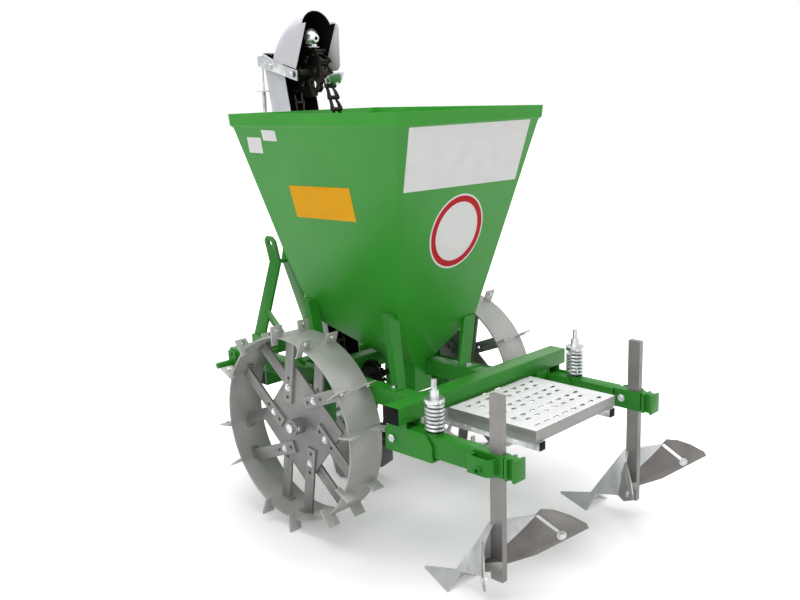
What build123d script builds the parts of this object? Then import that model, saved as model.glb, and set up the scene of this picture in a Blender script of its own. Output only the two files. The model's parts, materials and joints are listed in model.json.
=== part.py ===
from build123d import *
import math
import os

# Potato planter: one row of potatoes is lifted out of the hopper by a chain of cups,
# let down in front of the wheels and covered by a pair of ridgers behind.
# Lengths are in millimetres. X points to the right, Y to the front, Z up.
# Places are counted from the wheel axle (y = 0) and the ground (z = 0).

# Frame of square tubes
TUBE_HEIGHT = 50
TUBE_WALL = 4
BEAM_DEPTH = 60
RAIL_WIDTH = 55
FRAME_TOP = 497
FRAME_BOTTOM = FRAME_TOP - TUBE_HEIGHT
RAIL_OUTER_X = 305
RAIL_INNER_X = RAIL_OUTER_X - RAIL_WIDTH
RAIL_FRONT_Y = 465
REAR_BEAM_HALF = 405
REAR_BEAM_FRONT_Y = -407
REAR_BEAM_REAR_Y = REAR_BEAM_FRONT_Y - BEAM_DEPTH
LOW_RAIL_DROP = 82
LOW_RAIL_TOP = FRAME_TOP - LOW_RAIL_DROP
LOW_RAIL_BOTTOM = LOW_RAIL_TOP - TUBE_HEIGHT
CROSS_BEAM_DEPTH = 50
FRONT_BEAM_REAR_Y = RAIL_FRONT_Y - CROSS_BEAM_DEPTH
MID_BEAM_REAR_Y = 10
MID_BEAM_FRONT_Y = MID_BEAM_REAR_Y + CROSS_BEAM_DEPTH
NECK_TUBE_LEFT_X = 12
CAP_THICKNESS = 3
CAP_PLUG_LENGTH = 12

# Opener beam, low at the front, with its hanger from the left rail
OPENER_BEAM_REAR_Y = 344
OPENER_BEAM_FRONT_Y = OPENER_BEAM_REAR_Y + CROSS_BEAM_DEPTH
OPENER_BEAM_LEFT_X = -239
HANGER_THICKNESS = 8
HANGER_WIDTH = 60
HANGER_TOP_GAP = 7
HANGER_BOTTOM_GAP = 10

# Hitch: two horns carry the mast, two pins take the lower links
HORN_LENGTH = 95
HORN_CENTRE_X = 110
HORN_WIDTH = 50
HORN_FRONT_Y = RAIL_FRONT_Y + HORN_LENGTH
MAST_BAR_DEPTH = 60
MAST_BAR_THICKNESS = 10
MAST_Y = HORN_FRONT_Y - MAST_BAR_DEPTH / 2
MAST_FOOT_X = 125
MAST_BEND_X = 34
MAST_BEND_Z = 758
MAST_TOP_X = 56
MAST_TOP_Z = 858
MAST_HEAD_CORNER = 16
TOP_LINK_Z = 832
TOP_LINK_RADIUS = 10
MAST_SPACER_RADIUS = 8
STAY_WIDTH = 40
STAY_THICKNESS = 6
STAY_TOP_X = 98
STAY_TOP_Z = 575
LEFT_STAY_FOOT_Y = 125
RIGHT_STAY_FOOT_Y = 42
STAY_FOOT_X = 264
LINK_BRACKET_THICKNESS = 10
LINK_BRACKET_DEPTH = 42
LINK_BRACKET_TOP = 490
LINK_BRACKET_BOTTOM = 420
LINK_PIN_Y = 443
LINK_PIN_Z = 450
LINK_PIN_RADIUS = 11
LINK_PIN_LENGTH = 63
LINK_SPARE_HOLE_RADIUS = 5
LINK_SPARE_HOLE_Z = 478

# Hopper: its outer face, section by section; the rim is a folded collar
SHEET = 3
RIM_TOP_Z = 1312
RIM_EDGE_Z = 1275
RIM_FOOT_Z = 1268
WAIST_Z = 830
CREASE_Z = 630
NECK_Z = FRAME_TOP
NECK_BOTTOM_Z = 395
RIM_HALF = 335
RIM_REAR_Y = -426.5
RIM_FRONT_Y = 341
RIM_EDGE_INSET = 3
COLLAR_HALF = 325.2
COLLAR_REAR_Y = -415.8
COLLAR_FRONT_Y = 329.6
WAIST_HALF = 227.6
WAIST_REAR_Y = -308
WAIST_FRONT_Y = 210
CREASE_HALF = 183
CREASE_REAR_Y = -259
CREASE_FRONT_Y = 132
NECK_HALF = 40
NECK_REAR_Y = -186
NECK_FRONT_Y = -50
HOPPER_SECTIONS = (
    # z, half width, rear y, front y
    (NECK_BOTTOM_Z, NECK_HALF, NECK_REAR_Y, NECK_FRONT_Y),
    (NECK_Z, NECK_HALF, NECK_REAR_Y, NECK_FRONT_Y),
    (CREASE_Z, CREASE_HALF, CREASE_REAR_Y, CREASE_FRONT_Y),
    (WAIST_Z, WAIST_HALF, WAIST_REAR_Y, WAIST_FRONT_Y),
    (RIM_FOOT_Z, COLLAR_HALF, COLLAR_REAR_Y, COLLAR_FRONT_Y),
    (RIM_EDGE_Z, RIM_HALF - RIM_EDGE_INSET, RIM_REAR_Y + RIM_EDGE_INSET, RIM_FRONT_Y - RIM_EDGE_INSET),
    (RIM_TOP_Z, RIM_HALF, RIM_REAR_Y, RIM_FRONT_Y),
)

# Hopper posts: bent plates from the frame to the hopper's sloping walls
POST_WIDTH = 57
POST_THICKNESS = 5
POST_FLANGE = 26
POST_SINK = 12
POST_FOOT_LENGTH = 44
SIDE_POST_TOP_Z = 700
SIDE_POST_TOP_X = 197
SIDE_POST_FOOT_X = 256
REAR_SIDE_POST_TOP_Y = -234
REAR_SIDE_POST_FOOT_Y = -326
FRONT_SIDE_POST_TOP_Y = 141
FRONT_SIDE_POST_FOOT_Y = 19
RIGHT_POST_FOOT_X = 200
RIGHT_POST_FOOT_Y = 35
CORNER_POST_TOP_Z = 632
CORNER_POST_TOP_X = 154
CORNER_POST_TOP_Y = -258
CORNER_POST_FOOT_X = 39
CORNER_POST_FOOT_Y = -329

# Cup chain: a closed belt round three rollers, given as y, z, radius
TOP_ROLLER_Y = 315
TOP_ROLLER_RISE = 123
TOP_ROLLER_Z = RIM_TOP_Z + TOP_ROLLER_RISE
TOP_ROLLER_RADIUS = 78
LOW_ROLLER_Y = 95
LOW_ROLLER_Z = 180
LOW_ROLLER_RADIUS = 60
FEED_ROLLER_Y = -60
FEED_ROLLER_Z = 445
FEED_ROLLER_RADIUS = 46
CUP_BELT = (
    (TOP_ROLLER_Y, TOP_ROLLER_Z, TOP_ROLLER_RADIUS),
    (FEED_ROLLER_Y, FEED_ROLLER_Z, FEED_ROLLER_RADIUS),
    (LOW_ROLLER_Y, LOW_ROLLER_Z, LOW_ROLLER_RADIUS),
)
CHAIN_HALF_WIDTH = 23
CHAIN_BAR_WIDTH = 6
CHAIN_BAR_HEIGHT = 12
CHAIN_PIN_RADIUS = 5
CHAIN_PIN_COUNT = 72
CUP_COUNT = 18
CUP_START_SHARE = 0.238
CUP_RADIUS = 31
CUP_STEP_RADIUS = 22
CUP_FLOOR_RADIUS = 13
CUP_DEPTH = 27
CUP_STEP_DEPTH = 15
CUP_WALL = 2.5
CUP_HOLE_RADIUS = 6
CUP_ARM_HALF_WIDTH = 12
CUP_ARM_THICKNESS = 4
ROLLER_GAP = 0.3
ROLLER_HALF_WIDTH = 8
HUB_RADIUS = 20
HUB_HALF_LENGTH = 58
TOP_WHEEL_TEETH = 12
TOP_WHEEL_NOTCH_RADIUS = 9
TOP_WHEEL_WINDOWS = 5
TOP_WHEEL_WINDOW_RADIUS = 15
TOP_SHAFT_RADIUS = 8
TOP_SHAFT_HALF = 82
FEED_SHAFT_RADIUS = 10
FEED_SHAFT_LEFT_X = -130
FEED_SHAFT_RIGHT_X = 60
SHAFT_CLEARANCE = 0.3

# Elevator channel, open to the rear, and the hood over the top roller
CHANNEL_HALF_WIDTH = 66
CHANNEL_REAR_OFFSET = 18
CHANNEL_FRONT_OFFSET = 80
CHANNEL_BOTTOM_Z = 230
HOOD_SETBACK = 70
HOOD_DROP = 32
HOOD_Y = TOP_ROLLER_Y - HOOD_SETBACK
HOOD_Z = TOP_ROLLER_Z - HOOD_DROP
HOOD_SIDE_RADIUS = 197
HOOD_CROWN_RISE = 46
HOOD_CROWN_RADIUS = HOOD_SIDE_RADIUS + HOOD_CROWN_RISE
HOOD_ANGLE = 65.6
HOOD_BAND_START_ANGLE = 7
HOOD_PLATE_SETBACK = 7
HOOD_PLATE_RISE = 17
HOOD_PLATE_CORNER_Y = TOP_ROLLER_Y - HOOD_PLATE_SETBACK
HOOD_PLATE_CORNER_Z = TOP_ROLLER_Z + HOOD_PLATE_RISE
GUARD_THICKNESS = 3
GUARD_SETBACK = 83
GUARD_RISE = 8
GUARD_DEPTH = 121
GUARD_HEIGHT = 163
GUARD_CORNER_RADIUS = 24
GUARD_CORNER_LIMIT_SHARE = 0.45
TIE_PLATE_THICKNESS = 5
COLLAR_BRACKET_HEIGHT = 30

# Chain tensioner: a strap round the head, pulled down by a spring rod
STRAP_INNER_X = 70
STRAP_THICKNESS = 5
STRAP_HEIGHT = 35
STRAP_TAIL = 20
STRAP_REACH = 190
STRAP_BOLT_REACH = 116
STRAP_REAR_Y = TOP_ROLLER_Y - STRAP_TAIL
STRAP_FRONT_Y = TOP_ROLLER_Y + STRAP_REACH
STRAP_BOLT_Y = TOP_ROLLER_Y + STRAP_BOLT_REACH
STRAP_SLOPE = 0.27
STRAP_BOLT_RADIUS = 8
STRAP_BOLT_LENGTH = 18
TENSION_ROD_X = -60
TENSION_ROD_INSET = 7
TENSION_ROD_Y = STRAP_FRONT_Y - TENSION_ROD_INSET
TENSION_ROD_RADIUS = 3
TENSION_TAB_RISE = 68
TENSION_TAB_Z = RIM_TOP_Z + TENSION_TAB_RISE
TENSION_TAB_WIDTH = 20
TENSION_TAB_THICKNESS = 4
TENSION_TAB_LIP = 26
TENSION_NUT_RADIUS = 7
TENSION_NUT_HEIGHT = 6
TENSION_COIL_RADIUS = 7.5
TENSION_COIL_LENGTH = 85

# Drive chain from the axle to the feed shaft
DRIVE_X = -111
DRIVE_SPROCKET_WIDTH = 12
DRIVE_SPROCKET_RADIUS = 46
DRIVE_SPROCKET_TEETH = 16
DRIVE_TOOTH_DEPTH = 7
AXLE_SPROCKET_RADIUS = 52
AXLE_SPROCKET_TEETH = 18
DRIVE_CHAIN_WIDTH = 10
DRIVE_CHAIN_HEIGHT = 6
DRIVE_CHAIN_CLEARANCE = 5
AXLE_SPROCKET_SINK = 1

# Furrow opener under the elevator
OPENER_REAR_Y = 35
OPENER_TAPER_Y = 200
OPENER_NOSE_Y = 310
OPENER_TOP_Z = 200
OPENER_KEEL_Z = 6
OPENER_KEEL_Y = 175
OPENER_HEEL_Y = 92
OPENER_HEEL_Z = 26
OPENER_REAR_Z = 70
OPENER_NOSE_Z = 70
OPENER_SHANK_THICKNESS = 6
OPENER_SHANK_REAR_Y = 120
OPENER_SHANK_LOW_Z = 120
OPENER_SHANK_FRONT_Y = 195

# Wheels: a flat band with lugs, two rows of spokes on a square plate
AXLE_Z = 336
AXLE_RADIUS = 15
LUG_HEIGHT = 36
BAND_RADIUS = AXLE_Z - LUG_HEIGHT
BAND_THICKNESS = 6
BAND_INNER_X = 310
BAND_OUTER_X = 441
LUG_TIP_RADIUS = AXLE_Z
LUG_WIDTH = 45
LUG_THICKNESS = 5
LUG_OVERHANG = 22
LUG_TAIL = 24
SPOKE_COUNT = 6
SPOKE_WIDTH = 40
SPOKE_THICKNESS = 8
SPOKE_INNER_RADIUS = 58
SPOKE_OFFSET = 63
SPOKE_START_ANGLE = 8.8
HUB_PLATE_SIDE = 280
HUB_PLATE_THICKNESS = 6
HUB_PLATE_X = 376
HUB_PLATE_ANGLE = 40
HUB_SLEEVE_RADIUS = 26
HUB_SLEEVE_LENGTH = 42
AXLE_END_REACH = 10
AXLE_HALF_LENGTH = HUB_PLATE_X + HUB_SLEEVE_LENGTH + AXLE_END_REACH
SPOKE_BOLT_PLACE = 109
SPOKE_HOLE_PITCH = 33
SPOKE_HOLE_RADIUS = 5.5
SPOKE_FOOT_LENGTH = 62
SPOKE_FOOT_WIDTH = 26
SPOKE_FOOT_THICKNESS = 10
BEARING_INNER_X = 254
BEARING_OUTER_X = 301
BEARING_HALF_DEPTH = 32
BEARING_DROP = 30
BEARING_CORNER = 16

# Ridger arms: pivoted under the rear beam and held down by springs
ARM_X = 345
ARM_WIDTH = 50
ARM_TOP_Z = 426
ARM_BOTTOM_Z = 366
ARM_FRONT_Y = -400
ARM_REAR_Y = -709
PIVOT_Y = -413
PIVOT_Z = 392
PIVOT_RADIUS = 8
PIVOT_CLEARANCE = 0.05
PIVOT_HEAD_RADIUS = 13
PIVOT_HEAD_LENGTH = 6
BRACKET_GAP = 2
BRACKET_PLATE = 6
BRACKET_BOTTOM_Z = 352
BRACKET_FRONT_Y = -384
BRACKET_REAR_Y = -566
BRACKET_SHELF_Z = 431
BRACKET_SHELF_REAR_Y = -542
BRACKET_LIP_Z = 401
CLAMP_HALF_WIDTH = 18
CLAMP_REAR_Y = -804
HOOK_LENGTH = 42
HOOK_CORE_HALF = 12
HOOK_PLATE_HALF = 24
HOOK_PLATE_THICKNESS = 8
HOOK_PLATE_PLACES = (8, 34)
LOOP_WIDTH = 33
LOOP_LENGTH = 78
LOOP_WALL = 6
LOOP_CORNER = 14
LOOP_HALF_HEIGHT = 24
BOSS_Z = 388
BOSS_RADIUS = 10
BOSS_HOLE_RADIUS = 6
BOSS_LENGTH = 10

# Springs over the arms
SPRING_Y = -549
SPRING_ROD_RADIUS = 8
SPRING_ROD_TOP_Z = 588
SPRING_RADIUS = 29
SPRING_WIRE = 9
SPRING_TOP_Z = 520
SEAT_RADIUS = 26
SEAT_THICKNESS = 8
CUP_SEAT_RADIUS = 30
CUP_SEAT_THICKNESS = 13
SPRING_NUT_RADIUS = 14
SPRING_NUT_HEIGHT = 12
SLOT_HALF_WIDTH = 13.5
SLOT_HALF_LENGTH = 22

# Ridgers: shank, nose with its share, and two wings, around the arm's own plane
SHANK_THICKNESS = 20
SHANK_FRONT_Y = -753
SHANK_REAR_Y = -794
SHANK_TOP_Z = 589
SHANK_BOTTOM_Z = 60
SHARE_TIP_Y = -498
SHARE_REAR_Y = -643
SHARE_HALF_WIDTH = 66
SHARE_HEIGHT = 44
SHARE_TIP_HEIGHT = 6
SHARE_TIP_HALF_WIDTH = 4
SHARE_PLATE = 6
NOSE_LOW_Z = 20
NOSE_LOW_Y = -606
NOSE_LOW_HALF = 22
NOSE_HEEL_Y = -760
NOSE_HEEL_Z = 84
NOSE_TOP_Z = 222
NOSE_TOP_Y = -742
NOSE_TOP_HALF = 113
NOSE_PLATE = 8
FROG_HALF_WIDTH = 8
FROG_TOP_Z = 195
FROG_BOTTOM_Z = 75
FROG_SINK = 3
WING_ANGLE = 41
WING_ROOT_Y = -710
WING_THICKNESS = 4
WING_SLOT_WIDTH = 9
WING_SLOT_LENGTH = 98
WING_SLOT_SLOPE = -41
WING_REACH = 303
WING_TOP_Z = 237
WING_OUTLINE_SHARES = (
    # name, distance along the wing, height
    ("inner corner", 0.112, 0.422),
    ("inner foot", 0.172, 0.321),
    ("foot", 0.512, 0.43),
    ("tip foot", 1, 0.726),
    ("tip", 0.977, 0.785),
    ("shoulder", 0.825, 0.903),
    ("crest", 0.677, 0.979),
    ("peak", 0.554, 1),
)
WING_SLOT_PLACE_SHARES = (0.634, 0.795)
WING_SEAT_GAP = 0.3
WING_STAY_Z = 98
WING_STAY_HEIGHT = 26

# Standing platform
PLATFORM_HALF_WIDTH = 200
PLATFORM_FRONT_Y = -476
PLATFORM_REAR_Y = -791
PLATFORM_TOP_Z = 450
PLATFORM_SKIRT = 36
PLATFORM_HOLE_RADIUS = 11
PLATFORM_HOLE_PITCH_X = 44
PLATFORM_HOLE_PITCH_Y = 42
PLATFORM_HOLE_ROWS = 7
PLATFORM_HOLE_COLUMNS = 8
PLATFORM_TUBE = 25
PLATFORM_TUBE_WALL = 2.5
PLATFORM_TUBE_X = 178
PLATFORM_TUBE_REAR_Y = -795
PLATFORM_TUBE_FRONT_Y = -400

# One overrun serves every cut
CUT = 20

# The finished planter is moved along Y so that its box is centred on the origin
REAR_LIMIT_Y = WING_ROOT_Y - WING_REACH * math.sin(math.radians(WING_ANGLE))
REAR_LIMIT_Y = REAR_LIMIT_Y - WING_THICKNESS * math.cos(math.radians(WING_ANGLE))
SHIFT_Y = -(REAR_LIMIT_Y + HORN_FRONT_Y + CAP_THICKNESS) / 2


def block(x, y, z):
    """Box between two limits along each axis."""
    size = [high - low for low, high in (x, y, z)]
    centre = [(high + low) / 2 for low, high in (x, y, z)]
    return Pos(*centre) * Box(*size)


def mirrored(shape):
    """The same shape on the machine's other side."""
    return shape.mirror(Plane.YZ)


def prism_x(points, left, right):
    """Outline of (y, z) points carried across the machine."""
    plane = Plane(origin=(left, 0, 0), x_dir=(0, 1, 0), z_dir=(1, 0, 0))
    return extrude(plane * Polygon(*points, align=None), amount=right - left, dir=(1, 0, 0))


def prism_y(points, rear, front):
    """Outline of (x, z) points carried along the machine."""
    plane = Plane(origin=(0, front, 0), x_dir=(1, 0, 0), z_dir=(0, -1, 0))
    return extrude(plane * Polygon(*points, align=None), amount=front - rear, dir=(0, -1, 0))


def prism_z(points, bottom, top):
    """Outline of (x, y) points carried upwards."""
    plane = Plane(origin=(0, 0, bottom))
    return extrude(plane * Polygon(*points, align=None), amount=top - bottom, dir=(0, 0, 1))


def rod_x(left, right, y, z, radius):
    """Round bar across the machine."""
    plane = Plane(origin=(left, y, z), x_dir=(0, 1, 0), z_dir=(1, 0, 0))
    return extrude(plane * Circle(radius), amount=right - left)


def rod_z(x, y, bottom, top, radius):
    """Round upright bar."""
    return extrude(Plane(origin=(x, y, bottom)) * Circle(radius), amount=top - bottom)


def tube_x(x, y, z, wall):
    """Square tube across the machine, open at both ends."""
    bore_y = (y[0] + wall, y[1] - wall)
    bore_z = (z[0] + wall, z[1] - wall)
    return block(x, y, z) - block((x[0] - CUT, x[1] + CUT), bore_y, bore_z)


def tube_y(x, y, z, wall):
    """Square tube along the machine, open at both ends."""
    bore_x = (x[0] + wall, x[1] - wall)
    bore_z = (z[0] + wall, z[1] - wall)
    return block(x, y, z) - block(bore_x, (y[0] - CUT, y[1] + CUT), bore_z)


def cap_x(end, outward, y, z, wall):
    """Plug in the end of a tube that runs across the machine."""
    lid = sorted((end, end + outward * CAP_THICKNESS))
    plug = sorted((end, end - outward * CAP_PLUG_LENGTH))
    inner_y = (y[0] + wall, y[1] - wall)
    inner_z = (z[0] + wall, z[1] - wall)
    return block(lid, y, z) + block(plug, inner_y, inner_z)


def cap_y(end, outward, x, z, wall):
    """Plug in the end of a tube that runs along the machine."""
    lid = sorted((end, end + outward * CAP_THICKNESS))
    plug = sorted((end, end - outward * CAP_PLUG_LENGTH))
    inner_x = (x[0] + wall, x[1] - wall)
    inner_z = (z[0] + wall, z[1] - wall)
    return block(x, lid, z) + block(inner_x, plug, inner_z)


def save(name, *shapes):
    """Write one node; its solids stay separate."""
    solids = [solid for shape in shapes for solid in shape.solids()]
    moved = [Pos(0, SHIFT_Y, 0) * solid for solid in solids]
    shape = moved[0] if len(moved) == 1 else Compound(children=moved)
    export_step(shape, f"parts/{name}.step")


class Belt:
    """Closed line round a convex ring of rollers, listed counter-clockwise as (y, z, radius)."""

    def __init__(self, rollers):
        self.rollers = rollers
        self.normals = []
        for index, (y, z, radius) in enumerate(rollers):
            next_y, next_z, next_radius = rollers[(index + 1) % len(rollers)]
            heading = math.atan2(next_z - z, next_y - y)
            distance = math.hypot(next_y - y, next_z - z)
            self.normals.append(heading - math.acos((radius - next_radius) / distance))

    def spans(self, height):
        """The belt at a height over the rollers, as arcs and straight runs in turn."""
        for index, (y, z, radius) in enumerate(self.rollers):
            start = self.normals[index - 1]
            sweep = (self.normals[index] - start) % (2 * math.pi)
            reach = radius + height
            yield "arc", (y, z, reach), start, sweep, reach * sweep
            next_y, next_z, next_radius = self.rollers[(index + 1) % len(self.rollers)]
            normal = self.normals[index]
            begin = (y + reach * math.cos(normal), z + reach * math.sin(normal))
            next_reach = next_radius + height
            end = (next_y + next_reach * math.cos(normal), next_z + next_reach * math.sin(normal))
            yield "run", begin, end, normal, math.dist(begin, end)

    def face(self, height):
        """Area inside the belt at a height over the rollers, in the machine's middle plane."""
        edges = []
        for kind, first, second, third, _ in self.spans(height):
            if kind == "run":
                edges.append(Line(first, second))
            else:
                y, z, reach = first
                angles = (second, second + third / 2, second + third)
                points = [(y + reach * math.cos(a), z + reach * math.sin(a)) for a in angles]
                edges.append(ThreePointArc(*points))
        return Plane.YZ * make_face(Wire(edges))

    def band(self, inner, outer, left, right):
        """Closed band between two heights and two sides."""
        ring = self.face(outer) - self.face(inner)
        return extrude(Pos(left, 0, 0) * ring, amount=right - left, dir=(1, 0, 0))

    def place(self, share, height):
        """Point (y, z) and outward angle at a share of the belt's length."""
        spans = list(self.spans(height))
        left = share * sum(span[4] for span in spans)
        for kind, first, second, third, length in spans:
            if left > length:
                left -= length
            elif kind == "run":
                along = left / length
                y = first[0] + along * (second[0] - first[0])
                z = first[1] + along * (second[1] - first[1])
                return y, z, third
            else:
                angle = second + third * left / length
                return first[0] + first[2] * math.cos(angle), first[1] + first[2] * math.sin(angle), angle
        return self.place(0, height)


CUP_PATH = Belt(CUP_BELT)
RUN_DOWN_SLOPE = math.tan(CUP_PATH.normals[-1])


def run_down_y(z):
    """Front line of the cup chain at a height, where it runs down inside the channel."""
    normal = CUP_PATH.normals[-1]
    touch_y = LOW_ROLLER_Y + LOW_ROLLER_RADIUS * math.cos(normal)
    touch_z = LOW_ROLLER_Z + LOW_ROLLER_RADIUS * math.sin(normal)
    return touch_y - (z - touch_z) * RUN_DOWN_SLOPE


# Frame


def rear_beam():
    """Cross tube behind the hopper, which carries both ridgers."""
    z = (FRAME_BOTTOM, FRAME_TOP)
    return tube_x((-REAR_BEAM_HALF, REAR_BEAM_HALF), (REAR_BEAM_REAR_Y, REAR_BEAM_FRONT_Y), z, TUBE_WALL)


def left_rail():
    """Side rail in the frame's upper level."""
    y = (REAR_BEAM_FRONT_Y, RAIL_FRONT_Y)
    return tube_y((-RAIL_OUTER_X, -RAIL_INNER_X), y, (FRAME_BOTTOM, FRAME_TOP), TUBE_WALL)


def right_rail():
    """Low side rail with a spacer under each beam."""
    x = (RAIL_INNER_X, RAIL_OUTER_X)
    rail = tube_y(x, (REAR_BEAM_REAR_Y, RAIL_FRONT_Y), (LOW_RAIL_BOTTOM, LOW_RAIL_TOP), TUBE_WALL)
    beams = (
        (REAR_BEAM_REAR_Y, REAR_BEAM_FRONT_Y),
        (MID_BEAM_REAR_Y, MID_BEAM_FRONT_Y),
        (FRONT_BEAM_REAR_Y, RAIL_FRONT_Y),
    )
    for y in beams:
        rail += block(x, y, (LOW_RAIL_TOP, FRAME_BOTTOM))
    return rail


def cross_beams():
    """Front beam with the two horns under the mast, and the beam under the hopper."""
    x = (-RAIL_INNER_X, RAIL_OUTER_X)
    z = (FRAME_BOTTOM, FRAME_TOP)
    front = tube_x(x, (FRONT_BEAM_REAR_Y, RAIL_FRONT_Y), z, TUBE_WALL)
    for side in (-1, 1):
        horn_x = (side * HORN_CENTRE_X - HORN_WIDTH / 2, side * HORN_CENTRE_X + HORN_WIDTH / 2)
        front += block(horn_x, (RAIL_FRONT_Y, HORN_FRONT_Y), z) - block(
            (horn_x[0] + TUBE_WALL, horn_x[1] - TUBE_WALL),
            (RAIL_FRONT_Y, HORN_FRONT_Y + CUT),
            (z[0] + TUBE_WALL, z[1] - TUBE_WALL),
        )
    middle = tube_x(x, (MID_BEAM_REAR_Y, MID_BEAM_FRONT_Y), z, TUBE_WALL)
    return front, middle


def neck_tube():
    """Short tube from the rear beam to the hopper's neck."""
    x = (NECK_TUBE_LEFT_X, NECK_TUBE_LEFT_X + RAIL_WIDTH)
    return tube_y(x, (REAR_BEAM_FRONT_Y, NECK_REAR_Y), (FRAME_BOTTOM, FRAME_TOP), TUBE_WALL)


def opener_beam():
    """Low cross tube that carries the opener, and its hanger on the left rail."""
    z = (LOW_RAIL_BOTTOM, LOW_RAIL_TOP)
    y = (OPENER_BEAM_REAR_Y, OPENER_BEAM_FRONT_Y)
    tube = tube_x((OPENER_BEAM_LEFT_X, RAIL_INNER_X), y, z, TUBE_WALL)
    hanger_x = (-RAIL_INNER_X, -RAIL_INNER_X + HANGER_WIDTH)
    hanger_y = (OPENER_BEAM_REAR_Y - HANGER_THICKNESS, OPENER_BEAM_REAR_Y)
    hanger_z = (LOW_RAIL_BOTTOM + HANGER_BOTTOM_GAP, FRAME_TOP - HANGER_TOP_GAP)
    return tube + block(hanger_x, hanger_y, hanger_z)


def tube_caps():
    """Black plugs in the open tube ends."""
    z = (FRAME_BOTTOM, FRAME_TOP)
    low_z = (LOW_RAIL_BOTTOM, LOW_RAIL_TOP)
    beam_y = (REAR_BEAM_REAR_Y, REAR_BEAM_FRONT_Y)
    rail_x = (-RAIL_OUTER_X, -RAIL_INNER_X)
    low_rail_x = (RAIL_INNER_X, RAIL_OUTER_X)
    opener_y = (OPENER_BEAM_REAR_Y, OPENER_BEAM_FRONT_Y)
    tube_z = (platform_bottom() - PLATFORM_TUBE, platform_bottom())
    caps = [
        cap_x(-REAR_BEAM_HALF, -1, beam_y, z, TUBE_WALL),
        cap_x(REAR_BEAM_HALF, 1, beam_y, z, TUBE_WALL),
        cap_y(RAIL_FRONT_Y, 1, rail_x, z, TUBE_WALL),
        cap_y(REAR_BEAM_REAR_Y, -1, low_rail_x, low_z, TUBE_WALL),
        cap_y(RAIL_FRONT_Y, 1, low_rail_x, low_z, TUBE_WALL),
        cap_x(OPENER_BEAM_LEFT_X, -1, opener_y, low_z, TUBE_WALL),
    ]
    for side in (-1, 1):
        x = (side * HORN_CENTRE_X - HORN_WIDTH / 2, side * HORN_CENTRE_X + HORN_WIDTH / 2)
        caps.append(cap_y(HORN_FRONT_Y, 1, x, z, TUBE_WALL))
        x = platform_tube_x(side)
        caps.append(cap_y(PLATFORM_TUBE_REAR_Y, -1, x, tube_z, PLATFORM_TUBE_WALL))
    return caps


# Hitch


def mast_uprights():
    """Two bent flat bars with the top link hole, held apart by a spacer."""
    foot_z = FRAME_TOP
    outline = (
        (MAST_FOOT_X, foot_z),
        (MAST_BEND_X, MAST_BEND_Z),
        (MAST_TOP_X, MAST_TOP_Z),
        (MAST_TOP_X - MAST_BAR_THICKNESS, MAST_TOP_Z),
        (MAST_BEND_X - MAST_BAR_THICKNESS, MAST_BEND_Z),
        (MAST_FOOT_X - MAST_BAR_THICKNESS, foot_z),
    )
    half = MAST_BAR_DEPTH / 2
    right = prism_y(outline, MAST_Y - half, MAST_Y + half)
    low_z = MAST_TOP_Z - MAST_HEAD_CORNER
    side_view = (
        (MAST_Y - half, foot_z),
        (MAST_Y + half, foot_z),
        (MAST_Y + half, low_z),
        (MAST_Y + half - MAST_HEAD_CORNER, MAST_TOP_Z),
        (MAST_Y - half + MAST_HEAD_CORNER, MAST_TOP_Z),
        (MAST_Y - half, low_z),
    )
    right &= prism_x(side_view, 0, MAST_FOOT_X)
    spacer_x = MAST_BEND_X - MAST_BAR_THICKNESS / 2
    bars = right + mirrored(right) + rod_x(-spacer_x, spacer_x, MAST_Y, MAST_BEND_Z, MAST_SPACER_RADIUS)
    return bars - rod_x(-MAST_FOOT_X, MAST_FOOT_X, MAST_Y, TOP_LINK_Z, TOP_LINK_RADIUS)


def mast_stay(side, foot_y):
    """Flat bar from an upright's rear edge down to the frame."""
    half = MAST_BAR_DEPTH / 2
    top = Vector(side * STAY_TOP_X, MAST_Y - half, STAY_TOP_Z)
    foot = Vector(side * STAY_FOOT_X, foot_y, FRAME_TOP)
    along = (foot - top).normalized()
    across = along.cross(Vector(0, 0, 1)).normalized()
    plane = Plane(origin=top - along * STAY_WIDTH, x_dir=across, z_dir=along)
    length = (foot - top).length + 2 * STAY_WIDTH
    bar = extrude(plane * Rectangle(STAY_THICKNESS, STAY_WIDTH), amount=length)
    reach = REAR_BEAM_HALF
    room = block((-reach, reach), (foot_y - reach, MAST_Y - half), (FRAME_TOP, MAST_TOP_Z))
    return bar & room


def link_brackets():
    """Plates outside the frame that hold the lower link pins."""
    y = (RAIL_FRONT_Y - LINK_BRACKET_DEPTH, RAIL_FRONT_Y)
    z = (LINK_BRACKET_BOTTOM, LINK_BRACKET_TOP)
    plate = block((RAIL_OUTER_X, RAIL_OUTER_X + LINK_BRACKET_THICKNESS), y, z)
    hole_x = (RAIL_OUTER_X - CUT, RAIL_OUTER_X + LINK_BRACKET_THICKNESS + CUT)
    plate -= rod_x(*hole_x, LINK_PIN_Y, LINK_SPARE_HOLE_Z, LINK_SPARE_HOLE_RADIUS)
    return plate, mirrored(plate)


def link_pins():
    """Lower link pins, welded to their brackets."""
    start = RAIL_OUTER_X + LINK_BRACKET_THICKNESS
    pin = rod_x(start, start + LINK_PIN_LENGTH, LINK_PIN_Y, LINK_PIN_Z, LINK_PIN_RADIUS)
    return pin, mirrored(pin)


# Hopper


def hopper_body(inset):
    """Solid hopper, each side moved in by a wall."""
    faces = []
    for z, half, rear, front in HOPPER_SECTIONS:
        width = 2 * (half - inset)
        depth = front - rear - 2 * inset
        faces.append(Pos(0, (front + rear) / 2, z) * Rectangle(width, depth))
    return loft(faces, ruled=True)


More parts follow.
